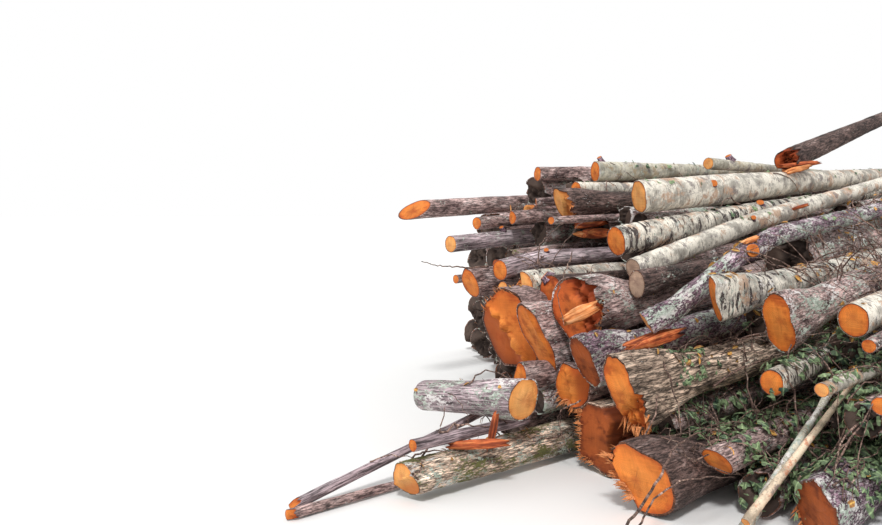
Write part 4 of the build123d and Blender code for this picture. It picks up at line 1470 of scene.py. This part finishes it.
class LOGS_OT_torn_wood(bpy.types.Operator):
    """Branch stubs, torn blocks and splinters"""

    bl_idname = "logs.torn_wood"
    bl_label = "Torn wood"

    def execute(self, context):
        stubs = [stub(*row) for row in STUBS]
        make_object("branch_stubs", stubs, ("Lichened bark", "Orange cut"))
        kinds = (("torn_blocks", "Split wood", False), ("torn_red_blocks", "Split red wood", True))
        for name, finish, red in kinds:
            blocks = [
                chunk(beside(*place), way, size, SEEDS["blocks"] + k * 7)
                for k, (place, way, size, is_red) in enumerate(CHUNKS) if is_red == red
            ]
            make_object(name, blocks, (finish,))
        spike = small_shape("spike", *SPIKE)
        chance = np.random.default_rng(SEEDS["splinters"])
        points, ways, sizes = [], [], []
        for node, first, last, count, longest, forward, outward in SPLINTERS:
            spots, way = rim_spots(node, first, last, count, forward, outward, chance)
            points.append(spots - way * longest * 0.25)
            ways.append(way + chance.normal(0, 0.2, (count, 3)))
            length = longest * chance.uniform(0.35, 1.2, count)
            width = longest * chance.uniform(0.14, 0.5, count)
            sizes.append(np.stack([width, width * 0.3, length], -1))
        points, ways, sizes = np.vstack(points), np.vstack(ways), np.vstack(sizes)
        turns = SEEDS["splinter_turns"]
        scatter("splinters", points, ways, sizes, spike, "Split wood", turns)
        drop(spike)
        return {"FINISHED"}


class LOGS_OT_ivy(bpy.types.Operator):
    """Ivy and dead leaves that lie on the stack"""

    bl_idname = "logs.ivy"
    bl_label = "Ivy and leaves"

    def execute(self, context):
        scale = context.scene.log_stack.leaf_size
        folded = [(x, y, -0.05 - abs(x) * 0.12) for x, y in IVY_OUTLINE]
        shapes = {
            "Ivy leaf": leaf_shape("ivy_leaf", folded, (0, -0.1, 0.06)),
            "Dead leaf": leaf_shape("dead_leaf", DEAD_OUTLINE, (0, 0, 0.02)),
        }
        for k, (name, nodes, low, high, count, finish, sizes, upward, gap) in enumerate(LEAF_REGIONS):
            chance = np.random.default_rng(SEEDS["leaves"] + k)
            spots, normals = surface_spots(nodes, low, high, count, SEEDS["leaf_spots"] + k, upward)
            spots = spots + normals * chance.uniform(0.1, 1.0, (count, 1)) * gap
            spots = spots + chance.normal(0, gap / 4, (count, 3))
            ways = normals + chance.normal(0, 0.3, (count, 3))
            size = np.repeat(chance.uniform(*sizes, (count, 1)), 3, axis=1)
            turns = SEEDS["leaf_turns"] + k
            scatter(name, spots, ways, size, shapes[finish], finish, turns, scale=scale)
        for shape in shapes.values():
            drop(shape)
        return {"FINISHED"}


class LOGS_OT_twigs(bpy.types.Operator):
    """Thin branches and brush that lie over the logs"""

    bl_idname = "logs.twigs"
    bl_label = "Twigs"

    def execute(self, context):
        settings = context.scene.log_stack
        corners, edges, sizes = [], [], []

        def add_path(line, size):
            first = len(corners)
            corners.extend(line.tolist())
            edges.extend((first + j, first + j + 1) for j in range(len(line) - 1))
            sizes.extend([size] * len(line))

        share = np.linspace(0, 1, TWIG_STEPS)[:, None]
        bow = 4 * share * (1 - share)
        for k, (nodes, low, high, count, reach, lift) in enumerate(TWIG_REGIONS):
            chance = np.random.default_rng(SEEDS["twigs"] + k)
            spots, _ = surface_spots(nodes, low, high, count * 4, SEEDS["twig_spots"] + k, 0.1)
            rest = spots[count:]
            for start in spots[:count]:
                gap = np.linalg.norm(rest - start, axis=1)
                near = np.nonzero((gap > 0.25 * reach) & (gap < reach))[0]
                if not len(near):
                    continue
                stop = rest[chance.choice(near)]
                sideways = chance.normal(0, 1, 3) * reach * 0.08
                upward = np.array((0, 0, lift * chance.uniform(0.2, 1)))
                line = start + (stop - start) * share + bow * (sideways + upward)
                line = line + chance.normal(0, 0.006, line.shape) + (0, 0, 0.008)
                add_path(line, chance.uniform(0.35, 1.3))
        chance = np.random.default_rng(SEEDS["branches"])
        for thickness, node, *points in BRANCHES:
            points = np.array([beside(node, *point) for point in points])
            share = np.linspace(0, len(points) - 1, 5 * len(points))
            line = np.stack([np.interp(share, np.arange(len(points)), points[:, k]) for k in range(3)], -1)
            add_path(line + chance.normal(0, 0.003, line.shape), thickness)
        mesh = bpy.data.meshes.new("twig_paths")
        mesh.from_pydata(corners, edges, [])
        add_layer(mesh, "twig_size", sizes)
        add_layer(mesh, "log_place", corners)
        holder = put("twig_paths", mesh)
        run_tree(holder, "Twigs", {
            "Thickness": settings.twig_thickness,
            "Sides": settings.twig_sides,
            "Finish": bpy.data.materials["Twig bark"],
        })
        to_mesh_piece(holder, "twigs")
        return {"FINISHED"}


class LOGS_OT_stage(bpy.types.Operator):
    """Floor, backdrop, lamps and camera"""

    bl_idname = "logs.stage"
    bl_label = "Stage"

    def execute(self, context):
        settings = context.scene.log_stack
        mesh = bpy.data.meshes.new("floor")
        half = settings.floor_size / 2
        corners = [(-half, -half, 0), (half, -half, 0), (half, half, 0), (-half, half, 0)]
        mesh.from_pydata(corners, [], [(0, 1, 2, 3)])
        material, wire = start_material("Pale floor")
        shader = wire.add("BsdfDiffuse", {"Color": (*settings.floor_color, 1)})[0]
        wire.add("OutputMaterial", {0: shader})
        mesh.materials.append(material)
        put("floor", mesh)
        world = bpy.data.worlds.new("Sky")
        context.scene.world = world
        world.use_nodes = True
        world.node_tree.nodes.clear()
        wire = Wiring(world.node_tree)
        path = wire.add("LightPath")
        mirrored = wire.sum("MAXIMUM", path["Is Glossy Ray"], path["Is Transmission Ray"])
        seen = wire.sum("MAXIMUM", path["Is Camera Ray"], mirrored)
        strength = wire.step(seen, 0, 1, 0.75, 1.0)
        sky = wire.add("Background", {"Color": (1, 1, 1, 1), "Strength": strength})[0]
        wire.add("OutputWorld", {0: sky})
        for name, (turn, size, power) in LAMPS.items():
            lamp = bpy.data.lights.new(name, "SUN")
            lamp.energy = power
            lamp.angle = math.radians(size)
            put(name, lamp).rotation_euler = [math.radians(part) for part in turn]
        camera = bpy.data.cameras.new("camera")
        camera.sensor_width = 36
        camera.lens = settings.lens
        camera.shift_y = CAMERA_SHIFT
        holder = put("camera", camera)
        holder.location = (*CAMERA_PLACE, settings.camera_height)
        holder.rotation_euler = Vector(CAMERA_WAY).to_track_quat("-Z", "Y").to_euler()
        context.scene.camera = holder
        context.scene.view_settings.view_transform = "Standard"
        return {"FINISHED"}


class LOGS_PT_panel(bpy.types.Panel):
    bl_label = "Stack of logs"
    bl_idname = "LOGS_PT_panel"
    bl_space_type = "VIEW_3D"
    bl_region_type = "UI"
    bl_category = "Logs"

    def draw(self, context):
        settings = context.scene.log_stack
        for name in LogStackSettings.__annotations__:
            self.layout.prop(settings, name)
        for operator in OPERATORS:
            self.layout.operator(operator.bl_idname)


OPERATORS = (
    LOGS_OT_alder, LOGS_OT_birch, LOGS_OT_hidden, LOGS_OT_torn_wood, LOGS_OT_ivy, LOGS_OT_twigs,
    LOGS_OT_stage,
)
CLASSES = (LogStackSettings, *OPERATORS, LOGS_PT_panel)


def register():
    for cls in CLASSES:
        bpy.utils.register_class(cls)
    bpy.types.Scene.log_stack = bpy.props.PointerProperty(type=LogStackSettings)


def unregister():
    del bpy.types.Scene.log_stack
    for cls in reversed(CLASSES):
        bpy.utils.unregister_class(cls)


def main():
    register()
    make_materials(bpy.context.scene.log_stack)
    bpy.ops.logs.alder()
    bpy.ops.logs.birch()
    bpy.ops.logs.hidden()
    bpy.ops.logs.torn_wood()
    bpy.ops.logs.ivy()
    bpy.ops.logs.twigs()
    bpy.ops.logs.stage()


if __name__ == "__main__":
    main()
